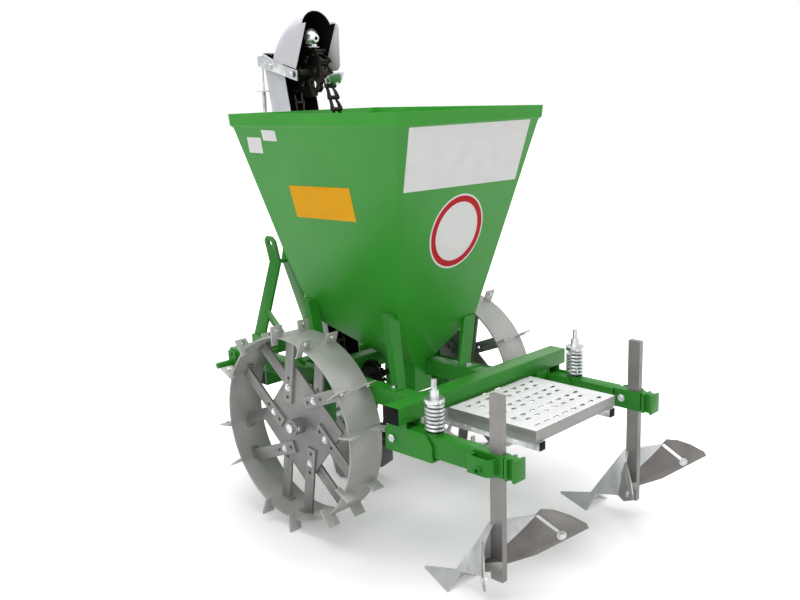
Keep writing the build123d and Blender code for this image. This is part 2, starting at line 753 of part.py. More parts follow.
def hopper():
    """Open hopper with its neck, which is open below and, under the cone, to the front."""
    faces = []
    for z, half, rear, front in HOPPER_SECTIONS:
        if z in (RIM_FOOT_Z, RIM_EDGE_Z):
            continue
        width = 2 * (half - SHEET)
        depth = front - rear - 2 * SHEET
        faces.append(Pos(0, (front + rear) / 2, z) * Rectangle(width, depth))
    shell = hopper_body(0) - loft(faces, ruled=True)
    opening_x = (SHEET - NECK_HALF, NECK_HALF - SHEET)
    opening_y = (NECK_FRONT_Y - CUT, NECK_FRONT_Y + CUT)
    shell -= block(opening_x, opening_y, (NECK_BOTTOM_Z - CUT, NECK_Z))
    hole = FEED_SHAFT_RADIUS + SHAFT_CLEARANCE
    return shell - rod_x(-NECK_HALF - CUT, NECK_HALF + CUT, FEED_ROLLER_Y, FEED_ROLLER_Z, hole)


def leaning_bar(bottom, top, bottom_z, top_z):
    """Bar between two level rectangles, each given as x limits and y limits."""
    faces = []
    for (x, y), z in ((bottom, bottom_z), (top, top_z)):
        centre = Pos((x[0] + x[1]) / 2, (y[0] + y[1]) / 2, z)
        faces.append(centre * Rectangle(x[1] - x[0], y[1] - y[0]))
    return loft(faces, ruled=True)


def around(centre, width):
    """Limits of a width about a centre."""
    return centre - width / 2, centre + width / 2


def side_post(side, top_y, foot_x, foot_y):
    """Bent plate from the frame's top to a side wall of the hopper."""
    foot_z = FRAME_TOP + POST_THICKNESS
    outer_top = SIDE_POST_TOP_X + POST_THICKNESS
    outer_foot = foot_x + POST_THICKNESS
    top = ((outer_top - POST_THICKNESS - POST_SINK, outer_top), around(top_y, POST_WIDTH))
    bottom = ((foot_x, outer_foot), around(foot_y, POST_WIDTH))
    post = leaning_bar(bottom, top, FRAME_TOP, SIDE_POST_TOP_Z)
    edge_top = (top_y - POST_WIDTH / 2, top_y - POST_WIDTH / 2 + POST_THICKNESS)
    edge_foot = (foot_y - POST_WIDTH / 2, foot_y - POST_WIDTH / 2 + POST_THICKNESS)
    flange_top = ((outer_top - POST_SINK, outer_top + POST_FLANGE), edge_top)
    flange_foot = ((foot_x, outer_foot + POST_FLANGE), edge_foot)
    post += leaning_bar(flange_foot, flange_top, FRAME_TOP, SIDE_POST_TOP_Z)
    post += block((foot_x, foot_x + POST_FOOT_LENGTH), around(foot_y, POST_WIDTH), (FRAME_TOP, foot_z))
    post -= hopper_body(0)
    post = max(post.solids(), key=lambda solid: solid.volume)
    return post if side > 0 else mirrored(post)


def corner_post():
    """Bent plate from the neck tube to the hopper's rear wall."""
    foot_z = FRAME_TOP + POST_THICKNESS
    top_y = (CORNER_POST_TOP_Y - POST_THICKNESS, CORNER_POST_TOP_Y + POST_SINK)
    top = (around(CORNER_POST_TOP_X, POST_WIDTH), top_y)
    bottom_y = (CORNER_POST_FOOT_Y - POST_THICKNESS, CORNER_POST_FOOT_Y)
    bottom = (around(CORNER_POST_FOOT_X, RAIL_WIDTH), bottom_y)
    post = leaning_bar(bottom, top, FRAME_TOP, CORNER_POST_TOP_Z)
    foot_y = (CORNER_POST_FOOT_Y - POST_FOOT_LENGTH, CORNER_POST_FOOT_Y)
    post += block(around(CORNER_POST_FOOT_X, RAIL_WIDTH), foot_y, (FRAME_TOP, foot_z))
    post -= hopper_body(0)
    return max(post.solids(), key=lambda solid: solid.volume)


def hopper_posts():
    """The four legs under the hopper."""
    return (
        side_post(-1, REAR_SIDE_POST_TOP_Y, SIDE_POST_FOOT_X, REAR_SIDE_POST_FOOT_Y),
        side_post(-1, FRONT_SIDE_POST_TOP_Y, SIDE_POST_FOOT_X, FRONT_SIDE_POST_FOOT_Y),
        side_post(1, FRONT_SIDE_POST_TOP_Y, RIGHT_POST_FOOT_X, RIGHT_POST_FOOT_Y),
        corner_post(),
    )


# Elevator


def cup_chain():
    """Ladder chain: two rows of side bars joined by cross pins."""
    inner = CHAIN_HALF_WIDTH - CHAIN_BAR_WIDTH
    chain = CUP_PATH.band(0, CHAIN_BAR_HEIGHT, inner, CHAIN_HALF_WIDTH)
    chain += CUP_PATH.band(0, CHAIN_BAR_HEIGHT, -CHAIN_HALF_WIDTH, -inner)
    pins = []
    for index in range(CHAIN_PIN_COUNT):
        y, z, _ = CUP_PATH.place(index / CHAIN_PIN_COUNT, CHAIN_BAR_HEIGHT / 2)
        reach = inner + CHAIN_BAR_WIDTH / 2
        pins.append(rod_x(-reach, reach, y, z, CHAIN_PIN_RADIUS))
    return chain + pins


def cup():
    """One cup, its mouth towards +Y of its own axes and its arm towards -Z."""
    outer = ((CUP_FLOOR_RADIUS, -CUP_DEPTH), (CUP_STEP_RADIUS, -CUP_STEP_DEPTH), (CUP_RADIUS, 0))
    wall = CUP_WALL
    profile = [
        (CUP_HOLE_RADIUS, -CUP_DEPTH),
        *outer,
        (CUP_RADIUS - wall, 0),
        (CUP_STEP_RADIUS - wall, wall - CUP_STEP_DEPTH),
        (CUP_FLOOR_RADIUS - wall / 2, wall - CUP_DEPTH),
        (CUP_HOLE_RADIUS, wall - CUP_DEPTH),
    ]
    bowl = revolve(Polygon(*profile, align=None), axis=Axis.Y)
    foot = CUP_RADIUS
    arm_y = (-CUP_STEP_DEPTH - CUP_ARM_THICKNESS, -CUP_STEP_DEPTH)
    arm = block((-CUP_ARM_HALF_WIDTH, CUP_ARM_HALF_WIDTH), arm_y, (-foot, wall - CUP_STEP_RADIUS))
    base_y = (-CUP_STEP_DEPTH - CUP_ARM_THICKNESS, 0)
    base = block((-CHAIN_HALF_WIDTH, CHAIN_HALF_WIDTH), base_y, (-foot, CUP_ARM_THICKNESS - foot))
    return bowl + arm + (base - bowl_room())


def bowl_room():
    """Room for the bowl in the cup's base plate."""
    plane = Plane(origin=(0, -CUP_STEP_DEPTH, 0), x_dir=(1, 0, 0), z_dir=(0, 1, 0))
    return extrude(plane * Circle(CUP_RADIUS - CUP_WALL), amount=CUP_STEP_DEPTH + CUT)


def cups():
    """Cups around the chain, mouths pointing the way the chain runs."""
    shape = cup()
    placed = []
    for index in range(CUP_COUNT):
        share = (index + CUP_START_SHARE) / CUP_COUNT
        y, z, angle = CUP_PATH.place(share, CHAIN_BAR_HEIGHT + CUP_RADIUS)
        outward = Vector(0, math.cos(angle), math.sin(angle))
        forward = Vector(0, math.sin(angle), -math.cos(angle))
        plane = Plane(origin=(0, y, z), x_dir=forward.cross(outward), z_dir=outward)
        placed.append(plane.location * shape)
    return placed


def roller(y, z, radius, half_width):
    """Plain chain roller."""
    reach = radius + CHAIN_BAR_HEIGHT / 2 - CHAIN_PIN_RADIUS - ROLLER_GAP
    return rod_x(-half_width, half_width, y, z, reach)


def top_wheel():
    """Cast chain wheel on the top shaft, with notches round its rim and windows in its web."""
    wheel = roller(TOP_ROLLER_Y, TOP_ROLLER_Z, TOP_ROLLER_RADIUS, ROLLER_HALF_WIDTH)
    centre = Pos(0, TOP_ROLLER_Y, TOP_ROLLER_Z)
    reach = ROLLER_HALF_WIDTH + CUT
    web_middle = (TOP_ROLLER_RADIUS - TOP_WHEEL_NOTCH_RADIUS + HUB_RADIUS) / 2
    notch = rod_x(-reach, reach, 0, TOP_ROLLER_RADIUS, TOP_WHEEL_NOTCH_RADIUS)
    window = rod_x(-reach, reach, 0, web_middle, TOP_WHEEL_WINDOW_RADIUS)
    for shape, count in ((notch, TOP_WHEEL_TEETH), (window, TOP_WHEEL_WINDOWS)):
        for index in range(count):
            wheel -= centre * Rot(index * 360 / count, 0, 0) * shape
    return wheel


def elevator_shafts():
    """The three shafts of the cup chain, each with its roller."""
    top = top_wheel()
    top += rod_x(-HUB_HALF_LENGTH, HUB_HALF_LENGTH, TOP_ROLLER_Y, TOP_ROLLER_Z, HUB_RADIUS)
    top += rod_x(-TOP_SHAFT_HALF, TOP_SHAFT_HALF, TOP_ROLLER_Y, TOP_ROLLER_Z, TOP_SHAFT_RADIUS)
    feed = roller(FEED_ROLLER_Y, FEED_ROLLER_Z, FEED_ROLLER_RADIUS, ROLLER_HALF_WIDTH)
    feed += rod_x(FEED_SHAFT_LEFT_X, FEED_SHAFT_RIGHT_X, FEED_ROLLER_Y, FEED_ROLLER_Z, FEED_SHAFT_RADIUS)
    low = roller(LOW_ROLLER_Y, LOW_ROLLER_Z, LOW_ROLLER_RADIUS, ROLLER_HALF_WIDTH)
    inner = CHANNEL_HALF_WIDTH - SHEET
    low += rod_x(-inner, inner, LOW_ROLLER_Y, LOW_ROLLER_Z, TOP_SHAFT_RADIUS)
    return top, feed, low


def sprocket(x, y, z, radius, teeth, bore):
    """Toothed wheel with square teeth."""
    low, high = around(x, DRIVE_SPROCKET_WIDTH)
    wheel = rod_x(low, high, y, z, radius)
    step = 360 / teeth
    gap_width = math.pi * radius / teeth
    gap = Pos(0, radius, 0) * Box(DRIVE_SPROCKET_WIDTH + CUT, 2 * DRIVE_TOOTH_DEPTH, gap_width)
    for index in range(teeth):
        wheel -= Pos(x, y, z) * Rot(index * step, 0, 0) * gap
    return wheel - rod_x(low - CUT, high + CUT, y, z, bore)


def drive_sprocket():
    """Black sprocket on the feed shaft's left end."""
    reach = DRIVE_SPROCKET_RADIUS - ROLLER_GAP
    return sprocket(DRIVE_X, FEED_ROLLER_Y, FEED_ROLLER_Z, reach, DRIVE_SPROCKET_TEETH, FEED_SHAFT_RADIUS)


def drive_chain():
    """Fixed loop from the axle's sprocket to the feed sprocket."""
    rollers = (
        (FEED_ROLLER_Y, FEED_ROLLER_Z, DRIVE_SPROCKET_RADIUS),
        (0, AXLE_Z, AXLE_SPROCKET_RADIUS + DRIVE_CHAIN_CLEARANCE),
    )
    return Belt(rollers).band(0, DRIVE_CHAIN_HEIGHT, *around(DRIVE_X, DRIVE_CHAIN_WIDTH))


def hood_point(radius, angle):
    """Point (y, z) on the hood, its angle counted forward from straight up."""
    turn = math.radians(angle)
    return HOOD_Y + radius * math.sin(turn), HOOD_Z + radius * math.cos(turn)


def channel_top(y):
    """Height of the hood plates' lower edge."""
    end_y, end_z = hood_point(HOOD_SIDE_RADIUS, HOOD_ANGLE)
    slope = (end_z - HOOD_PLATE_CORNER_Z) / (end_y - HOOD_PLATE_CORNER_Y)
    return HOOD_PLATE_CORNER_Z + slope * (y - HOOD_PLATE_CORNER_Y)


def elevator_channel():
    """Steel channel round the chain's downward run, with its brackets."""
    rear_y = run_down_y(HOOD_PLATE_CORNER_Z) - CHANNEL_REAR_OFFSET
    end_y, end_z = hood_point(HOOD_SIDE_RADIUS, HOOD_ANGLE)
    tip_y, tip_z = hood_point(HOOD_CROWN_RADIUS, HOOD_ANGLE)
    bottom = CHANNEL_BOTTOM_Z
    front_top_y = run_down_y(tip_z) + CHANNEL_FRONT_OFFSET
    front_top_z = end_z + (tip_z - end_z) / (tip_y - end_y) * (front_top_y - end_y)
    outline = (
        (run_down_y(bottom) - CHANNEL_REAR_OFFSET, bottom),
        (run_down_y(bottom) + CHANNEL_FRONT_OFFSET, bottom),
        (front_top_y, front_top_z),
        (end_y, end_z),
        (rear_y, channel_top(rear_y)),
    )
    room = (
        (run_down_y(bottom - CUT) - CHANNEL_REAR_OFFSET - CUT, bottom - CUT),
        (run_down_y(bottom - CUT) + CHANNEL_FRONT_OFFSET - SHEET, bottom - CUT),
        (run_down_y(front_top_z + CUT) + CHANNEL_FRONT_OFFSET - SHEET, front_top_z + CUT),
        (rear_y - CUT, front_top_z + CUT),
    )
    inner = CHANNEL_HALF_WIDTH - SHEET
    channel = prism_x(outline, -CHANNEL_HALF_WIDTH, CHANNEL_HALF_WIDTH) - prism_x(room, -inner, inner)
    full = prism_x(outline, -CHANNEL_HALF_WIDTH, CHANNEL_HALF_WIDTH)
    outer = CHANNEL_HALF_WIDTH + TIE_PLATE_THICKNESS
    collar_y = (RIM_FRONT_Y, run_down_y(RIM_TOP_Z) + COLLAR_BRACKET_HEIGHT)
    collar_z = (RIM_TOP_Z - COLLAR_BRACKET_HEIGHT, RIM_TOP_Z)
    tie_y = (run_down_y(FRAME_TOP), FRONT_BEAM_REAR_Y)
    for side in (-1, 1):
        collar_x = sorted((side * CHANNEL_HALF_WIDTH, side * outer))
        channel += block(collar_x, collar_y, collar_z)
        tie_x = sorted((side * inner, side * outer))
        channel += block(tie_x, tie_y, (FRAME_BOTTOM, FRAME_TOP)) - full
    return channel


def elevator_hood():
    """Arched band over the top roller, closed at both sides by plates."""
    wall = SHEET
    half = CHANNEL_HALF_WIDTH
    side_radius = HOOD_SIDE_RADIUS
    crown = HOOD_CROWN_RADIUS
    outer = ThreePointArc((-half, side_radius), (0, crown), (half, side_radius))
    inner = ThreePointArc((half - wall, side_radius), (0, crown - wall), (wall - half, side_radius))
    edges = [outer, Line(outer @ 1, inner @ 0), inner, Line(inner @ 1, outer @ 0)]
    plane = Plane(origin=(0, HOOD_Y, HOOD_Z), x_dir=(1, 0, 0), z_dir=(0, -1, 0))
    axis = Axis((0, HOOD_Y, HOOD_Z), (-1, 0, 0))
    profile = (plane * make_face(Wire(edges))).rotate(axis, HOOD_BAND_START_ANGLE)
    hood = revolve(profile, axis=axis, revolution_arc=HOOD_ANGLE - HOOD_BAND_START_ANGLE)
    start = hood_point(HOOD_SIDE_RADIUS, 0)
    middle = hood_point(HOOD_SIDE_RADIUS, HOOD_ANGLE / 2)
    end = hood_point(HOOD_SIDE_RADIUS, HOOD_ANGLE)
    corner = (HOOD_PLATE_CORNER_Y, HOOD_PLATE_CORNER_Z)
    rim = [ThreePointArc(start, middle, end), Line(end, corner), Line(corner, start)]
    for left in (-half, half - wall):
        plate = Plane(origin=(left, 0, 0), x_dir=(0, 1, 0), z_dir=(1, 0, 0)) * make_face(Wire(rim))
        hood += extrude(plate, amount=wall)
    return hood


def chain_guard():
    """Rounded plate outside the hood's right side."""
    corner = min(GUARD_CORNER_RADIUS, GUARD_CORNER_LIMIT_SHARE * min(GUARD_DEPTH, GUARD_HEIGHT))
    middle_y = TOP_ROLLER_Y - GUARD_SETBACK + GUARD_DEPTH / 2
    middle_z = TOP_ROLLER_Z + GUARD_RISE + GUARD_HEIGHT / 2
    plane = Plane(origin=(CHANNEL_HALF_WIDTH, middle_y, middle_z), x_dir=(0, 1, 0), z_dir=(1, 0, 0))
    return extrude(plane * RectangleRounded(GUARD_DEPTH, GUARD_HEIGHT, corner), amount=GUARD_THICKNESS)


def strap_z(y):
    """Height of the strap's middle line."""
    return TOP_ROLLER_Z + STRAP_SLOPE * (y - TOP_ROLLER_Y)


def strap_outline(rear, front):
    """Side view of a length of the strap."""
    half = STRAP_HEIGHT / 2
    return (
        (rear, strap_z(rear) - half),
        (front, strap_z(front) - half),
        (front, strap_z(front) + half),
        (rear, strap_z(rear) + half),
    )


def tension_strap():
    """Strap on the top shaft, its side bolts and the pull rod."""
    outer = STRAP_INNER_X + STRAP_THICKNESS
    strap = prism_x(strap_outline(STRAP_REAR_Y, STRAP_FRONT_Y), -outer, outer)
    room = strap_outline(STRAP_REAR_Y - CUT, STRAP_FRONT_Y - STRAP_THICKNESS)
    strap -= prism_x(room, -STRAP_INNER_X, STRAP_INNER_X)
    hole = TOP_SHAFT_RADIUS + SHAFT_CLEARANCE
    strap -= rod_x(-outer - CUT, outer + CUT, TOP_ROLLER_Y, TOP_ROLLER_Z, hole)
    bolt_z = strap_z(STRAP_BOLT_Y)
    for side in (-1, 1):
        ends = sorted((side * CHANNEL_HALF_WIDTH, side * (CHANNEL_HALF_WIDTH + STRAP_BOLT_LENGTH)))
        strap += rod_x(*ends, STRAP_BOLT_Y, bolt_z, STRAP_BOLT_RADIUS)
    rod_top = strap_z(STRAP_FRONT_Y)
    coil_low = TENSION_TAB_Z - TENSION_COIL_LENGTH
    nut_low = coil_low - TENSION_NUT_HEIGHT
    strap += rod_z(TENSION_ROD_X, TENSION_ROD_Y, nut_low, rod_top, TENSION_ROD_RADIUS)
    strap += rod_z(TENSION_ROD_X, TENSION_ROD_Y, nut_low, coil_low, TENSION_NUT_RADIUS)
    tab_y = (run_down_y(TENSION_TAB_Z) + CHANNEL_FRONT_OFFSET, TENSION_ROD_Y + TENSION_TAB_LIP)
    tab_z = (TENSION_TAB_Z, TENSION_TAB_Z + TENSION_TAB_THICKNESS)
    return strap + block(around(TENSION_ROD_X, TENSION_TAB_WIDTH), tab_y, tab_z)


def tension_spring():
    """Coil round the pull rod, from its nut up to the channel's tab."""
    low = TENSION_TAB_Z - TENSION_COIL_LENGTH
    coil = rod_z(TENSION_ROD_X, TENSION_ROD_Y, low, TENSION_TAB_Z, TENSION_COIL_RADIUS)
    hole = TENSION_ROD_RADIUS + SHAFT_CLEARANCE
    return coil - rod_z(TENSION_ROD_X, TENSION_ROD_Y, low - CUT, TENSION_TAB_Z + CUT, hole)


def opener():
    """Boat-shaped furrow opener, open behind and below, on two flat shanks."""
    half = CHANNEL_HALF_WIDTH
    wall = SHEET
    plan = (
        (-half, OPENER_REAR_Y),
        (half, OPENER_REAR_Y),
        (half, OPENER_TAPER_Y),
        (0, OPENER_NOSE_Y),
        (-half, OPENER_TAPER_Y),
    )
    nose_wall = wall * math.hypot(half, OPENER_NOSE_Y - OPENER_TAPER_Y) / half
    inner = half - wall
    room_plan = (
        (-inner, OPENER_REAR_Y - CUT),
        (inner, OPENER_REAR_Y - CUT),
        (inner, OPENER_TAPER_Y),
        (0, OPENER_NOSE_Y - nose_wall),
        (-inner, OPENER_TAPER_Y),
    )
    shell = prism_z(plan, 0, OPENER_TOP_Z) - prism_z(room_plan, -CUT, OPENER_TOP_Z + CUT)
    side_view = (
        (OPENER_REAR_Y, OPENER_REAR_Z),
        (OPENER_HEEL_Y, OPENER_HEEL_Z),
        (OPENER_KEEL_Y, OPENER_KEEL_Z),
        (OPENER_NOSE_Y, OPENER_NOSE_Z),
        (OPENER_NOSE_Y, OPENER_TOP_Z),
        (OPENER_REAR_Y, OPENER_TOP_Z),
    )
    shell &= prism_x(side_view, -half, half)
    shank = (
        (OPENER_SHANK_REAR_Y, OPENER_SHANK_LOW_Z),
        (OPENER_SHANK_FRONT_Y, OPENER_SHANK_LOW_Z),
        (OPENER_BEAM_REAR_Y, LOW_RAIL_BOTTOM),
        (OPENER_BEAM_REAR_Y, LOW_RAIL_TOP),
        (OPENER_SHANK_REAR_Y, OPENER_TOP_Z),
    )
    for left in (-half - OPENER_SHANK_THICKNESS, half):
        shell += prism_x(shank, left, left + OPENER_SHANK_THICKNESS)
    return shell


# Wheels


def lug(inner_x, outer_x, overhang):
    """One lug, upright at the top of the band; its tail hangs outside the band's edge."""
    half = LUG_THICKNESS / 2
    plate = block((inner_x, outer_x), (-half, half), (BAND_RADIUS - BAND_THICKNESS / 2, LUG_TIP_RADIUS))
    if overhang:
        tail_x = (BAND_OUTER_X, BAND_OUTER_X + overhang)
        plate += block(tail_x, (-half, half), (BAND_RADIUS - LUG_TAIL, LUG_TIP_RADIUS))
    return plate


def wheel_rim():
    """Flat band with a row of lugs at each edge, each lug where a spoke meets the band."""
    band = rod_x(BAND_INNER_X, BAND_OUTER_X, 0, 0, BAND_RADIUS)
    band -= rod_x(BAND_INNER_X - CUT, BAND_OUTER_X + CUT, 0, 0, BAND_RADIUS - BAND_THICKNESS)
    outer_lug = lug(BAND_OUTER_X + LUG_OVERHANG - LUG_WIDTH, BAND_OUTER_X, LUG_OVERHANG)
    inner_lug = lug(BAND_INNER_X, BAND_INNER_X + LUG_WIDTH, 0)
    lugs = []
    for edge in (-SPOKE_OFFSET, SPOKE_OFFSET):
        start = SPOKE_START_ANGLE - math.degrees(math.asin(edge / BAND_RADIUS))
        for index in range(SPOKE_COUNT):
            turn = Rot(start + index * 360 / SPOKE_COUNT, 0, 0)
            lugs.append(turn * inner_lug)
            lugs.append(turn * outer_lug)
    return Pos(0, 0, AXLE_Z) * (band + lugs)


def spoke(x, edge):
    """One spoke, upright over the axle, with its bolt holes and its foot on the band."""
    bar = block(x, around(edge, SPOKE_WIDTH), (SPOKE_INNER_RADIUS, BAND_RADIUS))
    foot_x = around(sum(x) / 2, SPOKE_FOOT_WIDTH)
    foot_low = BAND_RADIUS - BAND_THICKNESS - SPOKE_FOOT_THICKNESS
    bar += block(foot_x, around(edge, SPOKE_FOOT_LENGTH), (foot_low, BAND_RADIUS))
    for place in (SPOKE_BOLT_PLACE - SPOKE_HOLE_PITCH, SPOKE_BOLT_PLACE + SPOKE_HOLE_PITCH):
        bar -= rod_x(x[0] - CUT, x[1] + CUT, edge, place, SPOKE_HOLE_RADIUS)
    return bar


def wheel_spokes():
    """Square hub plate with a row of flat spokes on each face, and the hub sleeve."""
    half_plate = HUB_PLATE_THICKNESS / 2
    plate = Pos(HUB_PLATE_X, 0, 0) * Rot(HUB_PLATE_ANGLE, 0, 0)
    wheel = plate * Box(HUB_PLATE_THICKNESS, HUB_PLATE_SIDE, HUB_PLATE_SIDE)
    outer_x = (HUB_PLATE_X + half_plate, HUB_PLATE_X + half_plate + SPOKE_THICKNESS)
    inner_x = (HUB_PLATE_X - half_plate - SPOKE_THICKNESS, HUB_PLATE_X - half_plate)
    for shape in (spoke(outer_x, SPOKE_OFFSET), spoke(inner_x, -SPOKE_OFFSET)):
        for index in range(SPOKE_COUNT):
            wheel += Rot(SPOKE_START_ANGLE + index * 360 / SPOKE_COUNT, 0, 0) * shape
    wheel &= rod_x(BAND_INNER_X, BAND_OUTER_X, 0, 0, BAND_RADIUS - BAND_THICKNESS)
    sleeve_low = HUB_PLATE_X - HUB_SLEEVE_LENGTH / 2
    wheel += rod_x(sleeve_low, HUB_PLATE_X + HUB_SLEEVE_LENGTH, 0, 0, HUB_SLEEVE_RADIUS)
    wheel -= rod_x(BAND_INNER_X, BAND_OUTER_X, 0, 0, AXLE_RADIUS + SHAFT_CLEARANCE)
    return Pos(0, 0, AXLE_Z) * wheel


def axle():
    """Axle through both wheels, with the sprocket that drives the cup chain."""
    bar = rod_x(-AXLE_HALF_LENGTH, AXLE_HALF_LENGTH, 0, AXLE_Z, AXLE_RADIUS)
    bore = AXLE_RADIUS - AXLE_SPROCKET_SINK
    return bar + sprocket(DRIVE_X, 0, AXLE_Z, AXLE_SPROCKET_RADIUS, AXLE_SPROCKET_TEETH, bore)


def axle_bearings():
    """Bearing plates that hang the axle under both rails."""
    bearings = []
    for side, rail_bottom in ((-1, FRAME_BOTTOM), (1, LOW_RAIL_BOTTOM)):
        low = AXLE_Z - BEARING_DROP
        outline = (
            (-BEARING_HALF_DEPTH, rail_bottom),
            (-BEARING_HALF_DEPTH, low + BEARING_CORNER),
            (BEARING_CORNER - BEARING_HALF_DEPTH, low),
            (BEARING_HALF_DEPTH - BEARING_CORNER, low),
            (BEARING_HALF_DEPTH, low + BEARING_CORNER),
            (BEARING_HALF_DEPTH, rail_bottom),
        )
        left, right = sorted((side * BEARING_INNER_X, side * BEARING_OUTER_X))
        body = prism_x(outline, left, right)
        bearings.append(body - rod_x(left - CUT, right + CUT, 0, AXLE_Z, AXLE_RADIUS + SHAFT_CLEARANCE))
    return bearings


# Ridger arms, built on the right side


def arm_bracket():
    """Channel under the rear beam that holds the arm's pivot."""
    inner = ARM_WIDTH / 2 + BRACKET_GAP
    outer = inner + BRACKET_PLATE
    floor_top = BRACKET_BOTTOM_Z + BRACKET_PLATE
    outline = (
        (BRACKET_FRONT_Y, BRACKET_BOTTOM_Z),
        (BRACKET_FRONT_Y, PIVOT_Z + ARM_WIDTH / 2),
        (REAR_BEAM_FRONT_Y, FRAME_BOTTOM),
        (REAR_BEAM_REAR_Y, FRAME_BOTTOM),
        (REAR_BEAM_REAR_Y, BRACKET_SHELF_Z),
        (BRACKET_SHELF_REAR_Y, BRACKET_SHELF_Z),
        (BRACKET_REAR_Y, BRACKET_LIP_Z),
        (BRACKET_REAR_Y, BRACKET_BOTTOM_Z),
    )
    body = prism_x(outline, ARM_X - outer, ARM_X + outer)
    room_y = (BRACKET_REAR_Y - CUT, BRACKET_FRONT_Y + CUT)
    body -= block((ARM_X - inner, ARM_X + inner), room_y, (floor_top, FRAME_TOP))
    hole = PIVOT_RADIUS + PIVOT_CLEARANCE
    return body - rod_x(ARM_X - outer - CUT, ARM_X + outer + CUT, PIVOT_Y, PIVOT_Z, hole)


def pivot_bolt():
    """Bolt across the bracket, with its head and nut."""
    reach = ARM_WIDTH / 2 + BRACKET_GAP + BRACKET_PLATE
    bolt = rod_x(ARM_X - reach, ARM_X + reach, PIVOT_Y, PIVOT_Z, PIVOT_RADIUS)
    for low in (ARM_X - reach - PIVOT_HEAD_LENGTH, ARM_X + reach):
        plane = Plane(origin=(low, PIVOT_Y, PIVOT_Z), x_dir=(0, 1, 0), z_dir=(1, 0, 0))
        bolt += extrude(plane * RegularPolygon(PIVOT_HEAD_RADIUS, 6), amount=PIVOT_HEAD_LENGTH)
    return bolt


def spring_slot(bottom, top):
    """Long hole in the arm for the spring rod."""
    slot_x = (ARM_X - SLOT_HALF_WIDTH, ARM_X + SLOT_HALF_WIDTH)
    return block(slot_x, (SPRING_Y - SLOT_HALF_LENGTH, SPRING_Y + SLOT_HALF_LENGTH), (bottom, top))


def arm():
    """Arm tube with its spring seat, the clamp round the shank and the loops for marker rods."""
    half = ARM_WIDTH / 2
    x = (ARM_X - half, ARM_X + half)
    y = (ARM_REAR_Y, ARM_FRONT_Y)
    z = (ARM_BOTTOM_Z, ARM_TOP_Z)
    body = tube_y(x, y, z, TUBE_WALL)
    seat = rod_z(ARM_X, SPRING_Y, ARM_TOP_Z, ARM_TOP_Z + SEAT_THICKNESS, SEAT_RADIUS)
    body += seat
    body -= spring_slot(ARM_BOTTOM_Z - CUT, ARM_TOP_Z + SEAT_THICKNESS + CUT)
    hole = PIVOT_RADIUS + PIVOT_CLEARANCE
    sleeve = rod_x(ARM_X - half, ARM_X + half, PIVOT_Y, PIVOT_Z, PIVOT_RADIUS + TUBE_WALL)
    body += sleeve & block(x, y, z)
    body -= rod_x(ARM_X - half - CUT, ARM_X + half + CUT, PIVOT_Y, PIVOT_Z, hole)
    clamp_x = (ARM_X - CLAMP_HALF_WIDTH, ARM_X + CLAMP_HALF_WIDTH)
    body += block(clamp_x, (CLAMP_REAR_Y, ARM_REAR_Y), (ARM_BOTTOM_Z, ARM_TOP_Z))
    core_y = (CLAMP_REAR_Y - HOOK_LENGTH, CLAMP_REAR_Y)
    body += block(around(ARM_X, 2 * HOOK_CORE_HALF), core_y, (ARM_BOTTOM_Z, ARM_TOP_Z))
    for place in HOOK_PLATE_PLACES:
        plate_y = (CLAMP_REAR_Y - place - HOOK_PLATE_THICKNESS, CLAMP_REAR_Y - place)
        body += block(around(ARM_X, 2 * HOOK_PLATE_HALF), plate_y, (ARM_BOTTOM_Z, ARM_TOP_Z))
    shank_x = around(ARM_X, SHANK_THICKNESS)
    body -= block(shank_x, (SHANK_REAR_Y, SHANK_FRONT_Y), (ARM_BOTTOM_Z - CUT, ARM_TOP_Z + CUT))
    middle = (ARM_BOTTOM_Z + ARM_TOP_Z) / 2
    loop_z = (middle - LOOP_HALF_HEIGHT, middle + LOOP_HALF_HEIGHT)
    loop_x = (clamp_x[1], clamp_x[1] + LOOP_WIDTH)
    loop_y = (ARM_REAR_Y - LOOP_LENGTH, ARM_REAR_Y)
    loop_plan = (
        (loop_x[0], loop_y[0]),
        (loop_x[1] - LOOP_CORNER, loop_y[0]),
        (loop_x[1], loop_y[0] + LOOP_CORNER),
        (loop_x[1], loop_y[1]),
        (loop_x[0], loop_y[1]),
    )
    loop = prism_z(loop_plan, *loop_z)
    room_plan = (
        (loop_x[0], loop_y[0] + LOOP_WALL),
        (loop_x[1] - LOOP_CORNER, loop_y[0] + LOOP_WALL),
        (loop_x[1] - LOOP_WALL, loop_y[0] + LOOP_CORNER),
        (loop_x[1] - LOOP_WALL, loop_y[1] - LOOP_WALL),
        (loop_x[0], loop_y[1] - LOOP_WALL),
    )
    loop -= prism_z(room_plan, loop_z[0] - CUT, loop_z[1] + CUT)
    boss_y = (loop_y[0] + loop_y[1]) / 2
    loop += rod_x(loop_x[1], loop_x[1] + BOSS_LENGTH, boss_y, BOSS_Z, BOSS_RADIUS)
    hole_x = (loop_x[1] - 2 * LOOP_WALL, loop_x[1] + BOSS_LENGTH + CUT)
    loop -= rod_x(*hole_x, boss_y, BOSS_Z, BOSS_HOLE_RADIUS)
    return body + loop


def spring_rod():
    """Rod on the bracket's floor, with the cup that holds the spring down and its nuts."""
    floor_top = BRACKET_BOTTOM_Z + BRACKET_PLATE
    rod = rod_z(ARM_X, SPRING_Y, floor_top, SPRING_ROD_TOP_Z, SPRING_ROD_RADIUS)
    cup_top = SPRING_TOP_Z + CUP_SEAT_THICKNESS
    rod += rod_z(ARM_X, SPRING_Y, SPRING_TOP_Z, cup_top, CUP_SEAT_RADIUS)
    for level in range(2):
        low = cup_top + level * SPRING_NUT_HEIGHT
        plane = Plane(origin=(ARM_X, SPRING_Y, low))
        rod += extrude(plane * RegularPolygon(SPRING_NUT_RADIUS, 6), amount=SPRING_NUT_HEIGHT)
    return rod


